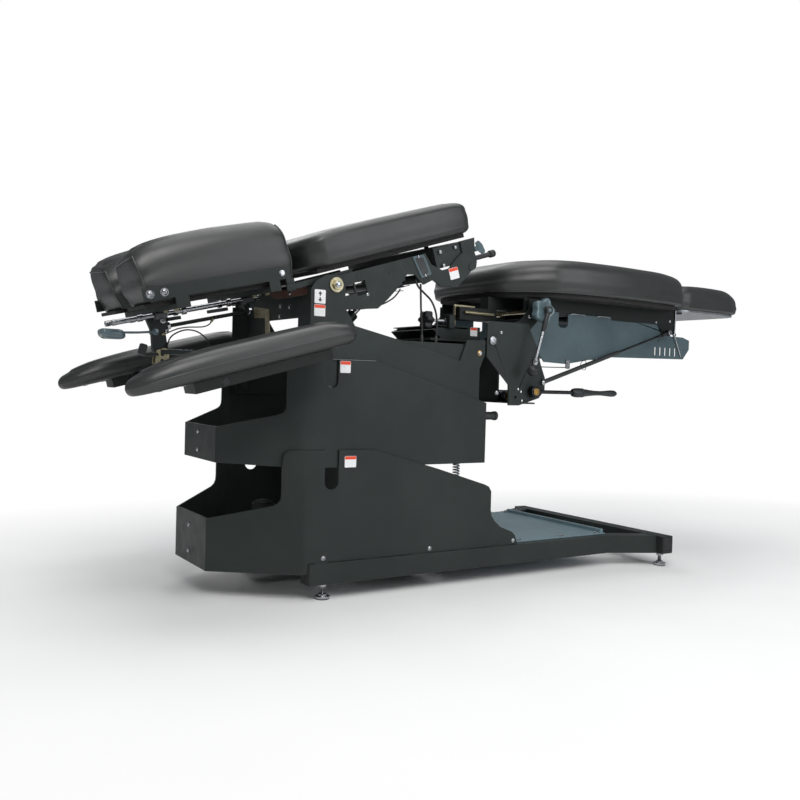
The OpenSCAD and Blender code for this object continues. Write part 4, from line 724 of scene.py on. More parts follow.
class TABLE_OT_face_cushions(bpy.types.Operator):
    """Face cushions with piped end panels"""

    bl_idname = "table.face_cushions"
    bl_label = "Face cushions"

    def execute(self, context):
        thick = sizes().piping / MM
        for word, side in SIDES:
            pad = face_pad(side)
            pad.cushion(f"face_pad_{word}", f"face_cushion_{word}", "head_section", 0.85)
            piping = Piece(HEAD)
            piping.tube(pad.end_seam(0.012, 0.4), thick, 10)
            piping.tube(pad.end_seam(0.988, 0.2), thick, 10)
            piping.build(f"face_piping_{word}", "head_section", "piping", crease=60)
        return {"FINISHED"}


class TABLE_OT_chest_cushion(bpy.types.Operator):
    """Chest cushion, its lining cloth and staples"""

    bl_idname = "table.chest_cushion"
    bl_label = "Chest cushion"

    def execute(self, context):
        CHEST_PAD.cushion("chest_pad", "chest_cushion", "chest_drop", 0.8)
        lining(CHEST_PAD, "chest", "chest_drop", 0.93, -0.5)
        return {"FINISHED"}


class TABLE_OT_armrests(bpy.types.Operator):
    """Armrest pads with their linings"""

    bl_idname = "table.armrests"
    bl_label = "Armrests"

    def execute(self, context):
        for word, side in SIDES:
            pad = arm_pad(side)
            pad.cushion(f"arm_pad_{word}", f"armrest_{word}", f"arm_{word}", 0.75)
            lining(pad, f"arm_{word}", f"arm_{word}", 0.90, -0.6)
        return {"FINISHED"}


class TABLE_OT_leg_cushions(bpy.types.Operator):
    """Leg and ankle cushions with staples and edge trim"""

    bl_idname = "table.leg_cushions"
    bl_label = "Leg cushions"

    def execute(self, context):
        LEG_PAD.cushion("leg_pad", "leg_cushion", "leg_section", 0.85)
        # the trim's lighter vinyl is a painted highlight along the cushion's lower edge
        trim = Piece().tube(LEG_PAD.edge_line(0.06, 14, 346, 180, 0.4), 3.0, 8)
        trim.build("leg_edge_trim", "leg_section", "piping", crease=60)
        ANKLE_PAD.cushion("ankle_pad", "ankle_cushion", "ankle_section", 0.8)
        staples(LEG_PAD, "leg", "leg_section", 0.955, -0.5)
        staples(ANKLE_PAD, "ankle", "ankle_section", 0.90, -0.4)
        return {"FINISHED"}


def lining(pad, name, body, share, drop):
    """A thin cloth under a cushion, with its staples."""
    cloth = Piece(pad.place).slab(pad.drawn_in(0, 72, share), pad.at[2] + drop, pad.at[2] + 0.3, "xy")
    cloth.build(f"{name}_lining", body, "dust_cloth")
    staples(pad, name, body, share - 0.03, drop)


def staples(pad, name, body, share, drop):
    """Wire staples around a cushion's underside, square to its edge."""
    line = [pad.middle(0).lerp(p, share) for p in pad.outline(0, 240)]
    pitch = sizes().staple_pitch / MM
    top, low = Vector(UP), Vector((0, 0, drop - 0.8))
    made = Piece(pad.place)
    run = 0.0
    for here, there in zip(line, line[1:] + line[:1]):
        run += (there - here).length
        if run < pitch:
            continue
        run = 0.0
        half = (there - here).normalized() * 5
        made.tube([here - half + top, here - half + low, here + half + low, here + half + top], 1.1, 6)
    made.build(f"{name}_staples", body, "bright_steel")


# Frame and column


def dress(node, finish, edge):
    """Gives a frame node its finish and rounds its sheet edges."""
    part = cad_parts[node]
    if not part.material_slots:
        part.data.materials.append(None)
    for slot in part.material_slots:
        slot.material = finished(finish)
    weld = part.modifiers.new("Weld", "WELD")
    weld.merge_threshold = 0.01 * MM
    round_edges(part, edge)
    shade = part.modifiers.new("Shading", "WEIGHTED_NORMAL")
    shade.weight = 80
    shade.keep_sharp = False


# Finish of the frame's own nodes, and how much of the sheet's edge rounding each takes
FRAME_FINISHES = (
    ("powder_coat", 1.0, "base_rails foot_crossbar lower_housing lower_ties lift_tube middle_housing "
                         "middle_ties top_housing front_panel top_shelf swivel_base swivel_saddle "
                         "tower_plates tower_shelf chest_frame chest_ties head_bars head_bracket "
                         "arm_carrier ankle_slide tilt_strut drop_box"),
    # painted shade: the arm trays and leg frame take the darker copy of the powder coat, for the shade under
    # the cushions
    ("dark_coat", 1.0, "arm_tray_left arm_tray_right leg_frame"),
    ("floor_coat", 1.0, "floor_plate"),
    ("guard_coat", 1.0, "guard_panels"),
    ("motor_coat", 1.0, "lift_motor"),
    ("lining_board", 1.0, "chest_board head_board leg_board"),
    ("bright_steel", 0.5, "middle_tube lift_rod flexion_pins tilt_strut_rod head_rods"),
    ("oxide_steel", 0.5, "strut_rod"),
    ("zinc_plate", 0.5, "pivot_pins leg_rods"),
    ("moulded_plastic", 0.5, "cord_socket strut_tube release_plunger"),
)


class TABLE_OT_steel_frame(bpy.types.Operator):
    """Finishes of the frame's own nodes"""

    bl_idname = "table.steel_frame"
    bl_label = "Steel frame"

    def execute(self, context):
        for finish, rounding, nodes in FRAME_FINISHES:
            for node in nodes.split():
                dress(node, finish, sizes().edge * rounding)
        return {"FINISHED"}


# How far out from the table's middle each part's side face stands, in millimetres
LOWER_FACE = 235
MIDDLE_FACE = 229.5
TOP_FACE = 224
SADDLE_FACE = 104
TOWER_FACE = 218
CHEST_FACE = 218.5
BAR_FACE = 199
EAR_FACE = 206
GUARD_FACE = 193
# Other faces: the floor plate's height and the front panel's station
FLOOR_PLATE_TOP = 88
PANEL_FACE = 676
# Upright axes, as station and distance across
LIFT_AXIS = (960, 0)
MOTOR_AXIS = (668, 0)
INLET = (1171, -175)
SPRING_AXIS = (1103, -200)


def rippled(start, step, ripple, wave, count):
    """A weld bead's line, which steps along and ripples across."""
    start, step, ripple = Vector(start), Vector(step), Vector(ripple)
    return [start + step * k + ripple * math.sin(k * wave) for k in range(count)]


def coiled(centre, radius, start, rise, turns, steps):
    """A coil's line from a height, with its rise in each turn."""
    x, y = centre
    return [(x + radius * math.cos(2 * math.pi * k / steps), y + radius * math.sin(2 * math.pi * k / steps),
             start + rise * k / steps) for k in range(turns * steps + 1)]


class TABLE_OT_base_fittings(bpy.types.Operator):
    """Feet, screws, end plugs, weld beads and motor fittings of the base"""

    bl_idname = "table.base_fittings"
    bl_label = "Base fittings"

    def execute(self, context):
        self.feet()
        plate_start, plate_length = 1292, 328
        housing_start, housing_length = 658, 634
        screws = Piece()
        screws.button_screws(both(*((plate_start + share * plate_length, 204, FLOOR_PLATE_TOP)
                                    for share in (0.07, 0.53, 0.93))), UP, 5.4)
        screws.button_screws(both(*((housing_start + share * housing_length, LOWER_FACE, 96)
                                    for share in (0.087, 0.546, 0.96))), OUT, 4.2)
        screws.build("base_screws", "base", "bright_steel", cover=["base_bolts"])
        rail_low, rail_high = 38, 83
        plugs = Piece()
        for side in BOTH:
            plugs.slab(rectangle(side * 199, side * 238, rail_low, rail_high, 4), 674.6, 679, "yz")
            plugs.slab(rectangle(1740, 1779, rail_low, rail_high, 4), side * 320, side * 322.2)
        plugs.build("rail_plugs", "base", "rubber", bevel=0.7)
        self.welds()
        self.motor()
        return {"FINISHED"}

    def feet(self):
        """Levelling feet: a pressed base on a pad, its thread and its lock nut."""
        places = both((722, 218.5, 0), (1759.5, 294, 0))
        pressed = [(2.2, 16), (2.2, 17), (6.4, 17), (8, 15.5), (8.6, 10.5), (11.5, 10), (12.2, 9), (12.2, 5)]
        feet = Piece().repeated(places, UP, pressed, 32)
        feet.repeated(places, UP, thread(12.2, 0.75, 4.6, 0.5, 21), 20)
        feet.repeated(places, UP, [(28, 9.4), (28.6, 11), (35.4, 11), (36, 9.4)], 6)
        feet.build("foot_screws", "base", "bright_steel", cover=["levelling_feet"])
        pads = Piece().repeated(places, UP, [(0, 15), (0, 16.4), (2.2, 16.8)], 32)
        pads.build("foot_pads", "base", "rubber")

    def welds(self):
        """Short beads along the rails, across the crossbar and up the housing's corners."""
        beads = Piece()
        for side in BOTH:
            for start in (690, 820, 950, 1080, 1200):
                beads.tube(rippled((start, side * 235.6, 85.4), (3, 0, 0), (0, side * 0.5, 0), 1.9, 13),
                           3.6, 8)
            beads.tube(rippled((1737.4, side * 262, 84.6), (0, side * 3.1, 0), (0, 0, 0.4), 2.1, 15), 3.4, 8)
            for low in (100, 150, 200, 260):
                beads.tube(rippled((658.3, side * 229.2, low), (0, 0, 2.6), (0, -side * 0.4, 0), 1.7, 11),
                           3.2, 8)
        beads.build("weld_beads", "base", "powder_coat", crease=70)

    def motor(self):
        """Cooling ribs, end cap and clamp screws of the lift motor, and the lift's collars."""
        ribs = Piece()
        ribs.repeated([(*MOTOR_AXIS, 100 + k * 9) for k in range(9)], UP,
                      [(0, 27), (0, 30), (3, 30), (3, 27)], 40)
        ribs.turned((*MOTOR_AXIS, 192), UP, [(0, 24), (4, 24), (8, 20), (10, 12), (10, 0)], 36)
        ribs.repeated(both((648, 30, 92), (716, 30, 92)), UP, [(0, 5), (4, 5), (4, 2.6), (2, 2.4)], 18)
        ribs.build("motor_ribs", "base", "motor_coat", bevel=0.4)
        collars = Piece()
        bore, bolt_circle = 45.1, 53
        for z, rim, tall in ((182, 50, 9), (42, 60, 7)):
            collars.turned((*LIFT_AXIS, z), UP, [(0, bore), (0, rim), (tall - 2, rim), (tall, rim - 2),
                                                 (tall, bore)], 48, ring=True)
        collars.hex_bolts([(LIFT_AXIS[0] + bolt_circle * math.cos(a), bolt_circle * math.sin(a), 49)
                           for a in angles(6)], UP, 5)
        collars.build("lift_collars", "base", "cast_steel", bevel=0.4)


class TABLE_OT_column_fittings(bpy.types.Operator):
    """Screws, spring, panel bar and power inlet of the two lifting stages"""

    bl_idname = "table.column_fittings"
    bl_label = "Column fittings"

    def execute(self, context):
        for stage, body, station, heights in (("lower", "base", 484, (150.5, 89.5)),
                                              ("middle", "mid_stage", 501, (369.8, 327.2))):
            nose = Piece().button_screws([(station, 10, z) for z in heights], TO_HEAD, 6.0, washer=False)
            nose.build(f"{stage}_nose_screws", body, "bright_steel")
        # painted highlight: a thin bright bare-metal strip along the middle housing's near top edge, where
        # the edge catches the light
        highlight_strip = Piece().block((714, 842), (-229.3, -224.7), (546, 546.5))
        highlight_strip.build("middle_edge_highlight", "mid_stage", "raw_edge")
        glide = Piece().repeated(both((723, TOP_FACE, 478)), OUT,
                                 [(0, 8), (0.3, 8), (0.3, 4.2), (0.1, 4)], 24)
        glide.build("top_notch_screws", "top_stage", "cast_steel")
        ring = Piece().turned((*LIFT_AXIS, 345), UP, [(-6, 40.2), (-6, 44), (2, 44), (4, 41), (4, 32.4)], 48)
        ring.build("middle_tube_collar", "mid_stage", "cast_steel", bevel=0.4)
        self.spring()
        self.front_bar()
        self.housing_sides()
        self.power_inlet()
        return {"FINISHED"}

    def spring(self):
        """The buffer spring's wire, one smooth line."""
        x, y = SPRING_AXIS
        radius, wire, low, high, turns = 7.7, 3.6, 262, 302, 5
        winding = coiled(SPRING_AXIS, radius, low + wire, (high - low - 2 * wire) / turns, turns, 28)
        coil = Piece().tube([(x + radius, y - wire, low), *winding, (x + radius, y + wire / 2, 301),
                             (x + radius, y + wire / 2, 303.9)], wire)
        coil.build("stage_spring_wire", "mid_stage", "bright_steel", crease=60, cover=["stage_spring"])

    def front_bar(self):
        """The bar across the front panel, its bolts and the bracket beside it."""
        outline = [(-196, 690), (-30, 690), (-4, 700), (-4, 708), (-196, 708)]
        bar = Piece().slab(rounded(outline, 4), 671.4, PANEL_FACE, "yz")
        bar.build("panel_bar", "top_stage", "brown_steel", bevel=0.6)
        screws = Piece().button_screws([(671.4, -113, 699)], TO_HEAD, 5.5, washer=False)
        places = ((-55.6, 672), (-105.6, 668), (-53, 648), (172, 660), (172, 630), (190, 540))
        screws.hex_bolts([(PANEL_FACE, y, z) for y, z in places], TO_HEAD, 5.0)
        screws.build("top_stage_screws", "top_stage", "bright_steel")
        outline = [(103, 679), (9, 669), (6, 607), (30, 608), (32, 648), (101, 651)]
        plate = Piece().slab(rounded(outline, 3), 673.4, PANEL_FACE, "yz")
        plate.turned((673.4, 88, 665), TO_HEAD, [(0, 5.5), (0.6, 5.5), (0.6, 3.5), (0, 3.4)], 24)
        plate.build("corner_bracket", "top_stage", "zinc_plate", bevel=0.5)

    def housing_sides(self):
        """Plugs, tab bolts and pivot caps on the top housing's sides."""
        plugs = Piece()
        plugs.repeated(both((945, TOP_FACE, 531)), OUT, [(0, 6), (0.3, 5.6), (0.3, 2.4), (0.1, 2)], 24)
        plugs.repeated(both((790, TOP_FACE, 552)), OUT, [(0, 10), (0.3, 9.6), (0.3, 0)], 32)
        plugs.build("housing_plugs", "top_stage", "powder_coat")
        washers = Piece().repeated(both((1149, 219, 577)), OUT, [(-3, 7), (5.3, 7), (5.6, 6)])
        washers.build("tab_washers", "top_stage", "brass")
        bolts = Piece().hex_bolts(both((1149, 224.6, 577)), OUT, 4.6, washer=False)
        bolts.repeated(both((PIVOT[0], 233, PIVOT[1])), OUT, [(-0.4, 7), (3, 7), (3.6, 6), (3.6, 0)])
        bolts.build("tab_bolts", "top_stage", "bright_steel")

    def power_inlet(self):
        """The power inlet's lock ring, lip and fixing screws."""
        ring = Piece()
        ring.turned((*INLET, 417), TO_FOOT, [(0, 12.5), (0.6, 14.5), (7, 14.5), (7.6, 12.5)], 8)
        ring.turned((*INLET, 417), TO_FOOT, [(66, 10.5), (66, 12), (73, 12), (74.2, 11), (74.2, 6.6)], 36)
        ring.build("inlet_rings", "mid_stage", "moulded_plastic", bevel=0.5)
        screws = Piece().repeated([(*INLET, z) for z in (393, 441)], TO_FOOT,
                                  [(0, 4), (1.8, 3.6), (2.2, 2), (1.2, 1.6)], 20)
        screws.build("inlet_screws", "mid_stage", "bright_steel")


def tag(name, body, corners, face, place=LEVEL, arrows=False):
    """A small blank film tag on a near side face, with an orange head or two plain arrows."""
    a, b, c, d = corners
    film, ink = -face - 0.45, -face - 0.6
    made = Piece(place).slab(rectangle(a, b, c, d, 2.5), -face, film)
    made.paint = 1
    if arrows:
        x, z = (a + b) / 2, (c + d) / 2
        for way in (1, -1):
            made.slab([(x - 5, z + way * 6), (x, z + way * 12), (x + 5, z + way * 6)], film, ink)
            made.slab(rectangle(x - 1.6, x + 1.6, z + way * 1.5, z + way * 6), film, ink)
    else:
        made.slab(rectangle(a + 0.6, b - 0.6, d - (d - c) * 0.3, d - 0.6, 1.5), film, ink)
    made.build(name, body, ("white_enamel", "black_mark" if arrows else "orange_enamel"))


class TABLE_OT_tags(bpy.types.Operator):
    """Blank film tags beside the moving joints"""

    bl_idname = "table.tags"
    bl_label = "Tags"

    def execute(self, context):
        tag("top_arrow_tag", "top_stage", (680, 707.5, 670, 701), TOP_FACE, arrows=True)
        tag("top_blank_tag", "top_stage", (680, 707.5, 641.5, 667.5), TOP_FACE)
        tag("middle_blank_tag", "mid_stage", (747, 774, 516, 543), MIDDLE_FACE)
        tag("lower_blank_tag", "base", (762, 792, 300, 326), LOWER_FACE)
        tag("tower_blank_tag", "swivel", (1207, 1230, 627, 650), SADDLE_FACE)
        tag("chest_blank_tag", "front_frame", (319, 347, -60, -32), CHEST_FACE, CHEST)
        return {"FINISHED"}


# Head section

# Tilt lever's axis, along and square to the head section
LEVER_AXIS = (-364, -34)


class TABLE_OT_head_fittings(bpy.types.Operator):
    """Bolts, clamps, bracket plates, lever and cables under the head section"""

    bl_idname = "table.head_fittings"
    bl_label = "Head fittings"

    def execute(self, context):
        bolts = Piece(HEAD).button_screws(both((-416, BAR_FACE, 46), (-385.5, BAR_FACE, 46)), OUT, 7.0)
        bolts.hex_bolts(both((-116, BAR_FACE, 46)), OUT, 6.0)
        bolts.build("head_bar_bolts", "head_section", "bright_steel")
        across = both(*((u, y, 8) for u in (-350, -137) for y in (150, 76)))
        Piece(HEAD).hex_bolts(across, DOWN, 6).build("cross_bar_bolts", "head_section", "zinc_plate")
        self.rod_clamps()
        self.bracket()
        self.post_paddle()
        self.lever()
        self.cables()
        return {"FINISHED"}

    def rod_clamps(self):
        """Clamp blocks, collars, end caps and bridges on the bright guide rods."""
        clamps = Piece(HEAD)
        collars = Piece(HEAD)
        for y in (-30, 30):
            for u in (-365, -150):
                clamps.slab(rectangle(y - 13, y + 13, -9, 8, 4), u, u + 26, "yz")
            collars.repeated([(u, y, 2) for u in (-300, -190)], TO_FOOT, [(0, 7), (0, 9.5), (9, 9.5), (9, 7)])
            collars.turned((-460, y, 2), TO_FOOT, [(0, 4), (1.2, 6.6), (10, 6.6), (10, 6)])
            collars.turned((-404, y, 2), TO_FOOT, [(0, 6.1), (0.5, 8), (12, 8), (13, 6.1)])
        clamps.build("rod_clamps", "head_section", "cast_steel", bevel=0.8)
        collars.build("rod_collars", "head_section", "bright_steel", bevel=0.3)
        bridges = Piece(HEAD)
        for low, high in ((-330, -312), (-212, -198)):
            bridges.slab(rectangle(-52, 52, -16, -8, 2), low, high, "yz")
        bridges.build("rod_bridges", "head_section", "powder_coat", bevel=0.6)

    def bracket(self):
        """Zinc cheeks on the hanging post, the link bar and the nuts."""
        cheeks = Piece()
        outline = rounded([(389, 524), (421, 524), (421, 552), (414, 562), (391, 556)], 4)
        for side in BOTH:
            cheeks.slab(outline, side * 12.6, side * 10.2)
        cheeks.build("post_cheeks", "head_section", "zinc_plate", bevel=0.4)
        link = Piece().slab(rectangle(404, 478.5, -12, 12, 5), 557.3, 559.6, "xy")
        link.build("slot_link", "head_section", "bright_steel", bevel=0.5)
        nuts = Piece(HEAD)
        nuts.repeated([(u, 0, -27) for u in (-332, -128)], TO_FOOT, [(0, 8), (0.5, 9), (7, 9), (7.5, 8)], 6)
        nuts.turned((-340, -8, -12), TO_NEAR, [(0, 7.4), (2, 7.4), (2, 4.5)], 24)
        nuts.button_screws(both((-362, 8, 2), (-352, 8, 14), (-336, 8, -36)), OUT, 4.6, washer=False)
        nuts.build("bracket_nuts", "head_section", "bright_steel", bevel=0.3)

    def post_paddle(self):
        """The small paddle that stands out from the hanging post."""
        post = Piece().button_screws([(405, -12.6, z) for z in (532, 546)], TO_NEAR, 4.4, washer=False)
        post.tube([(395, -14, 546), (378, -15, 543), (360, -15, 543)], 7)
        post.slab(rounded([(348, 545), (364, 541), (370, 566), (354, 570)], 4), -20, -10)
        post.build("post_paddle", "head_section", "moulded_plastic", bevel=0.5)

    def lever(self):
        """The tilt release: a dished paddle with ribs, level at rest, on two flat arms."""
        outline = [(-25, -18), (-19, -22), (21, -20), (29, -14), (29, 14), (21, 20), (-19, 22), (-25, 18)]
        outline = rounded(outline, 7)
        centre = -459
        level = math.radians(HEAD_TILT)
        paddle = Piece(HEAD)
        paddle.loft([[(centre + x * grow * math.cos(level), y * grow, v - x * grow * math.sin(level))
                      for x, y in outline]
                     for v, grow in ((-32.5, 0.66), (-30.5, 0.84), (-26.5, 0.97), (-21, 1.0), (-15.5, 0.97),
                                     (-11.5, 0.84), (-10, 0.66))])
        for x in (-16, -8, 0, 8, 16):
            top = -10.8 - x * math.tan(level)
            paddle.tube([(centre + x, -11, top), (centre + x, 11, top)], 2.2, 8)
        start, height = LEVER_AXIS
        for y in (-10.8, 10.8):
            paddle.tube([(start, y, height), (-400, y, -29), (-440, y, -21.5)], 5)
            paddle.turned((start, y - 2.5, height), TO_FAR, [(0, 6.5), (0.6, 8), (4.4, 8), (5, 6.5)])
        paddle.turned((start, -10, height), TO_FAR, [(0, 3.9), (20, 3.9)], 20)
        paddle.build("tilt_paddle", "head_lever", "glossy_knob", bevel=0.3, cover=["head_lever"])

    def cables(self):
        """The thin release cable with its zinc ends, and the slack loop beside it."""
        path = [(404, -9.5, 592), (412, -12, 594), (424, -14, 600), (438, -14, 606), (454, -13, 610),
                (470, -12, 612), (486, -10, 613), (502, -8, 615), (516, -6, 621), (526, -5.3, 634.5)]
        loop = [(478, -13, 553), (498, -13, 556), (512, -13, 566), (511, -13, 583), (487, -13, 601.5),
                (460, -13, 605), (436, -13, 596.5), (421, -13, 583), (414, -13, 560)]
        cable("slack_cable", "head_section", loop, 3.4)
        cable("head_release_cable", "head_section", path, 3, cover=["head_cable"])
        line = smooth_line(path, 6)
        ferrules = Piece()
        for a, b in ((line[0], line[6]), (line[-1], line[-7])):
            ferrules.turned(a, b - a, [(0, 2.1), (0, 2.9), (8, 2.9), (9.5, 1.8)], 18)
        ferrules.build("cable_ferrules", "head_section", "zinc_plate")


def smooth_line(points, between):
    """A smooth curve through given points."""
    points = [Vector(p) for p in points]
    made = []
    for i in range(len(points) - 1):
        p0, p1 = points[max(i - 1, 0)], points[i]
        p2, p3 = points[i + 1], points[min(i + 2, len(points) - 1)]
        for k in range(between):
            t = k / between
            made.append(0.5 * (2 * p1 + (p2 - p0) * t + (2 * p0 - 5 * p1 + 4 * p2 - p3) * t * t
                               + (3 * p1 - p0 - 3 * p2 + p3) * t ** 3))
    made.append(points[-1])
    return made


def cable(name, body, points, d, cover=()):
    """A jacketed cable along a smooth curve."""
    Piece().tube(smooth_line(points, 6), d).build(name, body, "cable_jacket", crease=60, cover=cover)


# Chest section

SPOOL = (181, -203)


class TABLE_OT_chest_fittings(bpy.types.Operator):
    """Bolts, adjuster plate, spool, plunger and cables of the chest section"""

    bl_idname = "table.chest_fittings"
    bl_label = "Chest fittings"

    def execute(self, context):
        bolts = Piece(CHEST)
        for u, v, size in ((78, -40, 4.6), (307, 13, 5.4), (309, -21, 5.0), (355, 15, 4.6)):
            bolts.button_screws(both((u, CHEST_FACE, v)), OUT, size, washer=False)
        bolts.build("chest_plate_bolts", "front_frame", "bright_steel")
        caps = Piece(CHEST)
        for u, v, radius in ((70, 4, 12), (205, 4, 12), (250, -38, 12), (150, -6, 5), (23, 14, 5)):
            caps.repeated(both((u, CHEST_FACE, v)), OUT,
                          [(0, radius), (0.6, radius - 0.5), (0.7, radius * 0.4), (0.3, radius * 0.36)], 32)
        caps.build("tie_caps", "front_frame", "powder_coat")
        self.adjuster()
        self.spool()
        self.return_spring()
        line = [(919, -203, 722), (912, -204, 712), (896, -206, 697), (866, -207, 681), (823, -208, 669),
                (790, -208, 665), (756, -208, 663)]
        cable("tension_cable", "front_frame", line, 3.6)
        button = Piece(CHEST).turned((396, -202, -24), TO_FOOT, [
            (0, 6.5), (70, 6.5), (71, 9), (73, 9.5), (83, 9.5), (86, 8.6), (87, 6), (87, 0)], 32)
        button.build("release_button", "release_plunger", "moulded_plastic", cover=["release_plunger"])
        self.finger_plate()
        self.release_cables()
        return {"FINISHED"}

    def adjuster(self):
        """The raised plate that covers the drop's adjuster, its window and its screws."""
        plate_face, window_face = -CHEST_FACE - 2.4, -CHEST_FACE - 3.2
        plate = Piece(CHEST).slab(rounded([(222, 19), (256, 17), (266, -34), (234, -37)], 4),
                                  -CHEST_FACE, plate_face)
        plate.build("adjuster_plate", "front_frame", "guard_coat", bevel=0.6)
        window = Piece(CHEST).slab(rounded([(228, 13), (251, 12), (258, -28), (239, -31)], 3),
                                   plate_face, window_face)
        window.build("adjuster_window", "front_frame", "moulded_plastic", bevel=0.3)
        places = [(239, window_face, 15.5), (247, window_face, -32.5)]
        screws = Piece(CHEST).button_screws(places, TO_NEAR, 3.6, washer=False)
        screws.build("adjuster_screws", "front_frame", "bright_steel")

    def spool(self):
        """The fluted tension spool and its pin."""
        spool = Piece(CHEST).turned((*SPOOL, -46.3), UP, [(0, 6), (0.8, 7), (19.2, 7), (20, 6)], 30)
        spool.repeated([(*SPOOL, -46.3 + k * 5) for k in range(4)], UP,
                       [(0, 7), (0.4, 9), (2.6, 9), (3, 7)], 30)
        spool.tube([(*SPOOL, -46), (SPOOL[0] + 26, SPOOL[1], -46)], 2, 10)
        spool.build("tension_spool", "tension_knob", "oxide_steel", cover=["tension_knob"])

    def return_spring(self):
        """The thin spring behind the chest plate, with its two straight ends."""
        turns, tall = 8, 34
        winding = coiled((934, -150), 6, 762, -tall / turns, turns, 14)
        spring = Piece().tube([(928, -150, 774), (930, -150, 768), *winding, (938, -150, 722),
                               (962, -150, 725)], 1.8, 8)
        spring.build("chest_return_spring", "front_frame", "oxide_steel", crease=60)

    def finger_plate(self):
        """The bent finger plate and the oval tab beside the plunger."""
        guard = Piece(CHEST)
        guard.slab(rounded([(419, 14), (431, 18), (441, 6), (446, -14), (436, -20), (425, -10)], 4),
                   -216, -213.5)
        guard.slab(rounded([(414, 4), (424, 6), (426, -8), (416, -8)], 2), -216, -206)
        guard.build("finger_plate", "front_frame", "guard_coat", bevel=0.6)
        outline = [(384, -34), (402, -29), (408, -36), (402, -48), (386, -52), (380, -44)]
        oval = Piece(CHEST).slab(rounded(outline, 8), -CHEST_FACE, -CHEST_FACE - 2.0)
        oval.build("oval_tab", "front_frame", "powder_coat", bevel=0.6)

    def release_cables(self):
        """The two release cables, bending between the chest and the top stage."""
        straight = [(972, -211, 738), (973, -211, 720), (974, -211, 700), (975, -211, 680), (977, -211, 660),
                    (979, -211, 640), (980, -211, 620), (980, -211, 598)]
        bowed = [(958, -210, 746), (966, -210, 731), (985, -210, 716), (1003, -210, 702), (1014, -210, 686),
                 (1021, -210, 668), (1024, -210, 648), (1024, -210, 628), (1022, -210, 598)]
        pair = Piece()
        for line in (straight, bowed):
            pair.tube(smooth_line(line, 5), 5)
            low, high = Vector(line[-1]), Vector(line[-2])
            pair.turned(low, high - low, [(0, 3), (0, 4.2), (16, 3.6), (17, 2.6)], 18)
        made = pair.build("release_cables", None, "cable_jacket", crease=60, cover=["bracket_cables"])
        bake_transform(made)


# Tower, levers and leg section

HAND_LEVER = (1330, -227.5, 483)
STAR_KNOB = (1054, -100, 662)
# Axes across the table, as station and height
ROLLER_AXIS = (1326, 469.3)
CLAMP_KNOB = (1345, 697)


def lobed(radius, depth, lobes, steps=90):
    """A knob's outline with rounded lobes."""
    reach = [(a, radius - depth / 2 + depth / 2 * math.cos(lobes * a)) for a in angles(steps)]
    return [(r * math.cos(a), r * math.sin(a)) for a, r in reach]


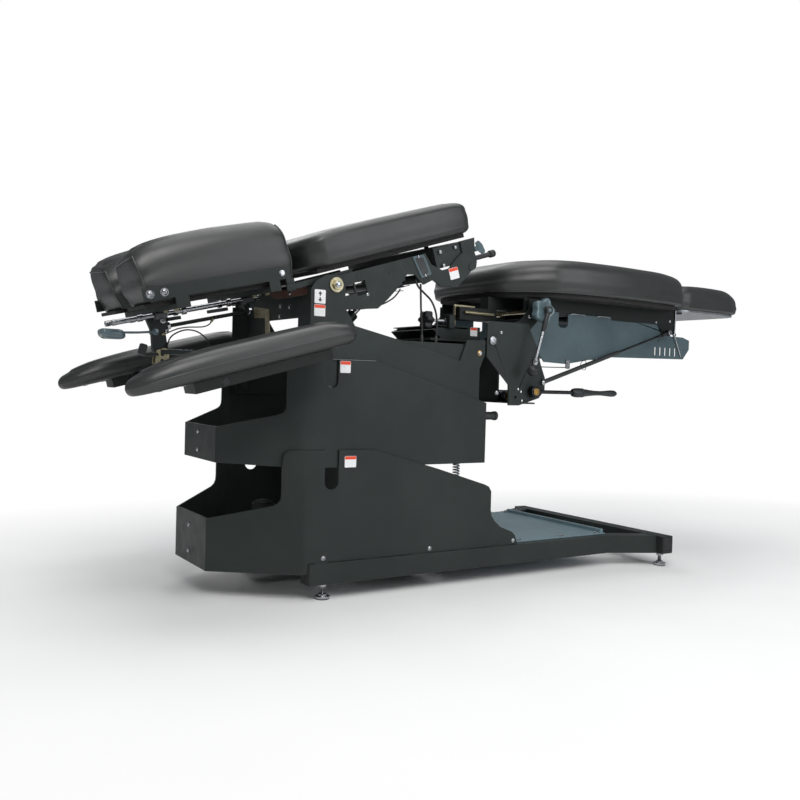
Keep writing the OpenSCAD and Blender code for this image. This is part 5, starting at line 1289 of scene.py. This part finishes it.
class TABLE_OT_tower_fittings(bpy.types.Operator):
    """Hand lever, star knob, rollers, screws and lock box lid of the swivel tower"""

    bl_idname = "table.tower_fittings"
    bl_label = "Tower fittings"

    def execute(self, context):
        self.hand_lever()
        self.star_knob()
        self.rollers()
        screws = Piece()
        screws.repeated(both((1193, 221.5, 611)), OUT,
                        [(0, 11), (0.6, 11), (2.2, 9.5), (2.6, 6), (2.6, 4.2), (1.2, 4)])
        screws.button_screws(both((1222, TOWER_FACE, 633)), OUT, 4.4, washer=False)
        screws.hex_bolts(both((1211, TOWER_FACE, 478)), OUT, 5.0)
        screws.turned((1365, -221.5, 508), TO_NEAR, [(0, 6), (1, 6.6), (4, 6.6), (5.4, 5), (5.8, 3)])
        screws.build("tower_screws", "swivel", "bright_steel")
        lid = Piece().slab(rounded([(1093, 648), (1240, 648), (1240, 651), (1097, 651)], 1), -104.4, 104.4)
        lid.block((1199, 1240), (-SADDLE_FACE, SADDLE_FACE), (617, 648.5))
        lid.build("lock_box_lid", "swivel", "textured_cover", bevel=0.6)
        ribs = Piece()
        for y in (-70, -35, 0, 35, 70):
            ribs.slab(rectangle(1165, 1230, y - 5, y + 5, 4), 651, 652.2, "xy")
        ribs.build("lid_ribs", "swivel", "textured_cover", bevel=0.4)
        race = Piece().turned((1250, 0, 609.4), UP, [(0, 45.1), (0, 47), (2.4, 48), (5, 47), (5, 45.1)], 60)
        race.build("race_ring", "top_stage", "cast_steel", bevel=0.3)
        return {"FINISHED"}

    def hand_lever(self):
        """Brass hub, steel shaft and the moulded grip with its waist and end."""
        x, y, z = HAND_LEVER
        arm = Piece().turned((x, -218.3, z), TO_NEAR, [(0, 14), (1, 15), (17, 15), (18, 14)], 36)
        arm.turned((x, -213, z), TO_NEAR, [(0, 5.9), (6, 5.9)], 24)
        arm.turned(HAND_LEVER, TO_FOOT, [(12, 5), (137, 5)], 24)
        arm.build("hand_lever_shaft", "hand_lever", "oxide_steel", bevel=0.4, cover=["hand_lever"])
        hub = Piece().turned((x, -236.3, z), TO_NEAR, [
            (0, 5.6), (0, 9.4), (1.6, 9.4), (2.4, 8.2), (2.4, 6.2), (0.6, 5.6)], 36)
        hub.build("hand_lever_hub", "hand_lever", "brass")
        grip = Piece().turned((x + 135, y, z), TO_FOOT, [
            (0, 5), (0, 7.4), (3, 10.6), (10, 12.4), (22, 12.9), (30, 12.6), (31, 11.6), (33, 11.6),
            (34, 12.6), (38, 12.2), (41, 11), (60, 8.6), (84, 6.7), (104, 6.3), (122, 7.2), (138, 8.6),
            (150, 9.3), (160, 8.4), (166, 5.6), (168, 0)], 40)
        grip.build("hand_grip", "hand_lever", "moulded_plastic")

    def star_knob(self):
        """The six-lobed lock knob with its hub cap and stud."""
        x, y, z = STAR_KNOB
        outline = lobed(25, 8, 6)
        stations = ((0, 0.72), (1.2, 0.9), (4, 0.99), (12, 1.0), (20, 0.99), (23, 0.92), (24, 0.8))
        knob = Piece().loft([[(x + along, y + a * grow, z + b * grow) for a, b in outline]
                             for along, grow in stations])
        knob.turned((x + 24, y, z), TO_FOOT, [(0, 12), (4, 12), (6, 10)], 32)
        knob.turned(STAR_KNOB, TO_HEAD, [(-1, 11), (1.0, 11), (2.2, 9), (2.2, 5), (1, 4.6)], 32)
        knob.build("star_grip", "star_knob", "moulded_plastic", bevel=0.3, cover=["star_knob"])
        stud = Piece().turned((x + 24, y, z), TO_FOOT, thread(6, 0.9, 3.6, 0.4, 70), 18)
        stud.turned((x + 68, y, z), TO_FOOT, [(0, 7), (0.5, 8), (6.5, 8), (7, 7)], 6)
        stud.build("star_stud", "star_knob", "bright_steel", crease=50)

    def rollers(self):
        """Bright sleeves and brass washers on the roller shaft."""
        x, z = ROLLER_AXIS
        sleeves = Piece().repeated([(x, y, z) for y in (-128, -93)], TO_FAR, [
            (0.4, 12), (0.4, 15.6), (2, 16), (32, 16), (33.6, 15.6), (33.6, 12)], 40)
        sleeves.build("roller_sleeves", "swivel", "bright_steel", bevel=0.3)
        washers = Piece().repeated([(x, y, z) for y in (-131, -58.6)], TO_FAR,
                                   [(0, 8), (0, 12), (2.6, 12), (2.6, 8)], 32)
        washers.build("roller_washers", "swivel", "brass")


class TABLE_OT_leg_fittings(bpy.types.Operator):
    """Clamp knob, lock lever, guard trim, rods, bolts and pan of the leg section"""

    bl_idname = "table.leg_fittings"
    bl_label = "Leg fittings"

    def execute(self, context):
        self.clamp_knob()
        self.lock_lever()
        self.guard_trim()
        self.rods()
        self.bolts()
        self.pan()
        return {"FINISHED"}

    def clamp_knob(self):
        """The five-lobed clamp knob with a recessed face."""
        x, z = CLAMP_KNOB
        outline = lobed(35, 8, 5)
        stations = ((-222, 0.82), (-223.4, 0.93), (-227, 0.995), (-238, 1.0), (-243, 0.985), (-245.4, 0.93),
                    (-246, 0.82), (-244.4, 0.66))
        knob = Piece().loft([[(x + a * grow, y, z + b * grow) for a, b in outline] for y, grow in stations])
        knob.turned((x, -206.3, z), TO_NEAR, [(0, 12), (1, 13), (15.9, 13)], 32)
        for y, length in ((-188, 20), (-240, 23)):
            knob.turned((x, y, z), TO_NEAR, [(0, 5), (length, 5)], 24)
        knob.build("clamp_knob", "lobed_knob", "glossy_knob", bevel=0.3, cover=["lobed_knob"])

    def lock_lever(self):
        """The bright lever: hub, sleeve, rod, collar and knurled ball."""
        hub = Vector((CLAMP_KNOB[0], -256.5, CLAMP_KNOB[1]))
        reach = Vector((-48, 0, -160))
        way = reach.normalized()
        boot = Piece().turned(hub + Vector((0, 6.2, 0)), TO_NEAR, [
            (0, 5.1), (0, 10), (0.8, 11), (11.6, 11), (12.4, 10), (12.4, 5.1)], 36)
        boot.turned(hub + way * 8, way, [(0, 6.2), (2, 6.4), (44, 6), (50, 4.8), (52, 4.5)])
        boot.build("lock_lever_boot", "lock_lever", "moulded_plastic", bevel=0.3)
        lever = Piece().turned(hub + way * 50, way, [(0, 4.5), (102, 4.5)], 24)
        lever.turned(hub + way * 136, way, [(0, 4.5), (0, 8), (9, 8), (14, 6)])
        lever.build("lock_lever_rod", "lock_lever", "bright_steel", bevel=0.3, cover=["lock_lever"])
        centre, radius, steps = hub + reach, 14, 16
        arc = [math.pi * k / steps for k in range(1, steps)]
        ball = Piece().turned(centre, way, [
            (-13.8, 0), *((-radius * math.cos(a), radius * math.sin(a)) for a in arc), (radius, 0)], 40)
        side = way.orthogonal().normalized()
        up = way.cross(side)
        for a in angles(12):
            out = side * math.cos(a) + up * math.sin(a)
            ball.tube([centre + way * t + out * math.sqrt(13.7 ** 2 - t * t)
                       for t in range(-9, 10, 3)], 2.4, 8)
        ball.build("lock_lever_ball", "lock_lever", "moulded_plastic")

    def guard_trim(self):
        """Folded top edges, dimple row and foot brackets of the guards."""
        trim = Piece()
        for side in BOTH:
            for low, high in ((1482, 1540), (1584, 1636)):
                trim.tube([(low, side * 193.6, 697), (low + 6, side * 195.5, 699.4),
                           (high - 6, side * 195.5, 699.4), (high, side * 193.6, 697)], 3.0, 8)
            trim.tube([(1642, side * 187.6, 714), (1700, side * 188.6, 714.8), (1890, side * 188.6, 714.8)],
                      2.0, 8)
        trim.build("guard_edges", "leg_section", "raw_edge", crease=60)
        dimples = Piece().repeated(both(*((1395 + k * 13, GUARD_FACE, 576) for k in range(5))), OUT,
                                   [(0, 3.4), (0.6, 2.6), (0.7, 0)], 18)
        dimples.build("guard_dimples", "leg_section", "guard_coat")
        clips = Piece()
        for side in BOTH:
            clips.slab(rectangle(1469, 1484, 548, 574, 3), side * GUARD_FACE, side * 196)
        clips.hex_bolts(both((1476, 196, 566)), OUT, 4.4)
        clips.build("guard_clips", "leg_section", "bright_steel", bevel=0.4)

    def rods(self):
        """Thin stay rods and the wire ring of the leg section."""
        stay = Piece().tube([(1372, -194.6, 550), (1420, -194.6, 550.6), (1476, -194.6, 551.6)], 2.6, 10)
        stay.build("guard_stay", "leg_section", "cable_jacket")
        bright = Piece().tube([(1911, -192.5, 738), (1910.4, -192.5, 700), (1909, -192.5, 664)], 4.4)
        bright.tube([(1909, -192.5, 664), (1928, -190.5, 630), (1946, -188, 599)], 4.4)
        bright.turned((1909, -189.5, 664), TO_NEAR, [(0, 5), (6, 5), (6.6, 3)], 20)
        bright.build("end_stays", "leg_section", "bright_steel")
        ring = Piece().tube([(1536 + 11 * math.sin(a), -196 - 1.5 * math.cos(2 * a), 560 - 13 * math.cos(a))
                             for a in angles(26)], 1.7, 8)
        ring.build("wire_ring", "leg_section", "cable_jacket")

    def bolts(self):
        """Bolts along the side channels, ears and end plate, and the front blocks."""
        bolts = Piece()
        bolts.button_screws(both((1831, 190, 698)), OUT, 4.2, washer=False)
        bolts.button_screws(both((1891, 190, 704)), OUT, 4.6, washer=False)
        bolts.button_screws(both((1355, EAR_FACE, 720), (1370, EAR_FACE, 701)), OUT, 4.6, washer=False)
        bolts.hex_bolts(both((1324, EAR_FACE, 682)), OUT, 5.0)
        bolts.turned((1343, -100, 735), DOWN, [(0, 9), (5, 9), (6, 6)], 6)
        bolts.hex_bolts(both((1911, 60, 716), (1911, 140, 716)), TO_FOOT, 5.0)
        bolts.build("leg_bolts", "leg_section", "bright_steel")
        nut = Piece().turned((1868, -206.9, 668), TO_FAR, [(-7, 6.4), (-6, 7.6), (-1.4, 7.6), (-1.4, 3)], 6)
        nut.build("strut_end_nut", "leg_section", "bright_steel")
        blocks = Piece()
        for low, high in ((-80, -60), (60, 80)):
            blocks.slab(rectangle(1286, 1330, 706, 733, 4), low, high)
        blocks.build("front_blocks", "leg_section", "powder_coat", bevel=0.8)

    def pan(self):
        """The ankle section's bright pan, rail wipers and slide bolts."""
        pan = Piece().slab(ANKLE_PAD.drawn_in(0.4, 96, 0.94), 736.6, 744.4, "xy")
        pan.build("ankle_pan", "ankle_section", "raw_edge", bevel=0.8)
        wipers = Piece().repeated([(1911, y, 707) for y in (-100, 100)], TO_FOOT, [
            (0, 10.2), (0, 14), (4, 14), (6, 12), (6, 10.2)], 32)
        wipers.build("rail_wipers", "leg_section", "rubber")
        places = [(1969, y, z) for y in (-110, -90, 90, 110) for z in (700, 722)]
        bolts = Piece().hex_bolts(places, TO_FOOT, 5.0)
        bolts.build("slide_bolts", "ankle_section", "bright_steel")


# Stage: camera measured from the photograph's perspective for a square picture

PICTURE = 800
FOCAL_PIXELS = 874.7
SENSOR = 36.0
CAMERA_AT = (-1.4460, -1.9823, 0.4997)
CAMERA_YAW = 32.494
CAMERA_PITCH = -1.203
CAMERA_ROLL = 1.628


class TABLE_OT_stage(bpy.types.Operator):
    """Pale floor, soft lamps and the camera at the photograph's angle"""

    bl_idname = "table.stage"
    bl_label = "Stage"

    def execute(self, context):
        self.camera(context.scene)
        self.lamps()
        self.world(context.scene)
        self.floor()
        context.scene.view_settings.view_transform = "Standard"
        return {"FINISHED"}

    def camera(self, scene):
        yaw, pitch, roll = (math.radians(a) for a in (CAMERA_YAW, CAMERA_PITCH, CAMERA_ROLL))
        ahead = Vector((math.sin(yaw) * math.cos(pitch), math.cos(yaw) * math.cos(pitch), math.sin(pitch)))
        right = Vector((math.cos(yaw), -math.sin(yaw), 0))
        up = right.cross(ahead)
        across = right * math.cos(roll) + up * math.sin(roll)
        upright = up * math.cos(roll) - right * math.sin(roll)
        turn = Matrix((across, upright, -ahead)).transposed().to_4x4()
        lens = bpy.data.cameras.new("camera")
        lens.sensor_width = SENSOR
        lens.lens = FOCAL_PIXELS * SENSOR / PICTURE
        view = bpy.data.objects.new("camera", lens)
        view.matrix_world = Matrix.Translation(CAMERA_AT) @ turn
        scene.collection.objects.link(view)
        scene.camera = view

    def lamps(self):
        """A big soft key from above the head end, a side fill and a light behind."""
        for name, at, size, power, tint in (
                ("key", (-1.3, -2.5, 3.0), 2.0, 72.0, (1.0, 0.99, 0.97)),
                ("near_fill", (1.4, -3.3, 1.7), 2.2, 34.0, (0.95, 0.98, 1.0)),
                ("head_fill", (-3.6, -0.2, 1.1), 1.8, 3.0, (1.0, 0.92, 0.84)),
                ("back", (0.8, 2.6, 2.4), 2.2, 26.0, (1.0, 1.0, 1.0)),
                ("overhead", (0.1, 0.2, 3.3), 2.6, 50.0, (1.0, 1.0, 1.0)),
        ):
            lamp = bpy.data.lights.new(name, "AREA")
            lamp.shape = "SQUARE"
            lamp.size = size
            lamp.energy = power
            lamp.color = tint
            holder = bpy.data.objects.new(name, lamp)
            holder.location = at
            aim = Vector((0, 0, 0.55)) - Vector(at)
            holder.rotation_euler = aim.to_track_quat("-Z", "Y").to_euler()
            bpy.context.scene.collection.objects.link(holder)

    def world(self, scene):
        """White where the camera looks past the table, a mild grey for the light."""
        world = bpy.data.worlds.new("studio")
        scene.world = world
        world.use_nodes = True
        nodes = Nodes(world.node_tree)
        soft = nodes.tree.nodes["Background"]
        soft.inputs["Color"].default_value = (0.92, 0.96, 1.0, 1.0)
        soft.inputs["Strength"].default_value = 0.22
        white = nodes.made("Background", 0, {"Color": (1, 1, 1, 1), "Strength": 1.0})
        surface = nodes.made("MixShader", 0, {0: nodes.seen_directly(), 1: soft.outputs[0], 2: white})
        nodes.put(nodes.tree.nodes["World Output"].inputs["Surface"], surface)

    def floor(self):
        """A wide pale floor just under the feet."""
        floor = Piece().slab(rectangle(-9000, 11000, -9000, 9000), -6, -0.2, "xy")
        floor.build("studio_floor", None, "studio_floor")


class TABLE_PT_panel(bpy.types.Panel):
    """Lists the table's pieces and its stage"""

    bl_label = "Treatment Table"
    bl_idname = "TABLE_PT_panel"
    bl_space_type = "VIEW_3D"
    bl_region_type = "UI"
    bl_category = "Table"

    def draw(self, context):
        column = self.layout.column()
        for group in (context.scene.table_sizes, context.scene.table_colours):
            for name in group.__annotations__:
                column.prop(group, name)
        for operator in OPERATORS:
            column.operator(operator.bl_idname)


GROUPS = (TableSizes, TableColours)
OPERATORS = (
    TABLE_OT_steel_frame, TABLE_OT_base_fittings, TABLE_OT_column_fittings, TABLE_OT_tags,
    TABLE_OT_face_cushions, TABLE_OT_chest_cushion, TABLE_OT_armrests, TABLE_OT_leg_cushions,
    TABLE_OT_head_fittings, TABLE_OT_chest_fittings, TABLE_OT_tower_fittings, TABLE_OT_leg_fittings,
    TABLE_OT_stage,
)


def register():
    for made in (*GROUPS, *OPERATORS, TABLE_PT_panel):
        bpy.utils.register_class(made)
    bpy.types.Scene.table_sizes = PointerProperty(type=TableSizes)
    bpy.types.Scene.table_colours = PointerProperty(type=TableColours)


def unregister():
    del bpy.types.Scene.table_colours
    del bpy.types.Scene.table_sizes
    for made in (TABLE_PT_panel, *reversed(OPERATORS), *reversed(GROUPS)):
        bpy.utils.unregister_class(made)


def main():
    register()
    for operator in OPERATORS:
        group, name = operator.bl_idname.split(".")
        getattr(getattr(bpy.ops, group), name)()


if __name__ == "__main__":
    main()
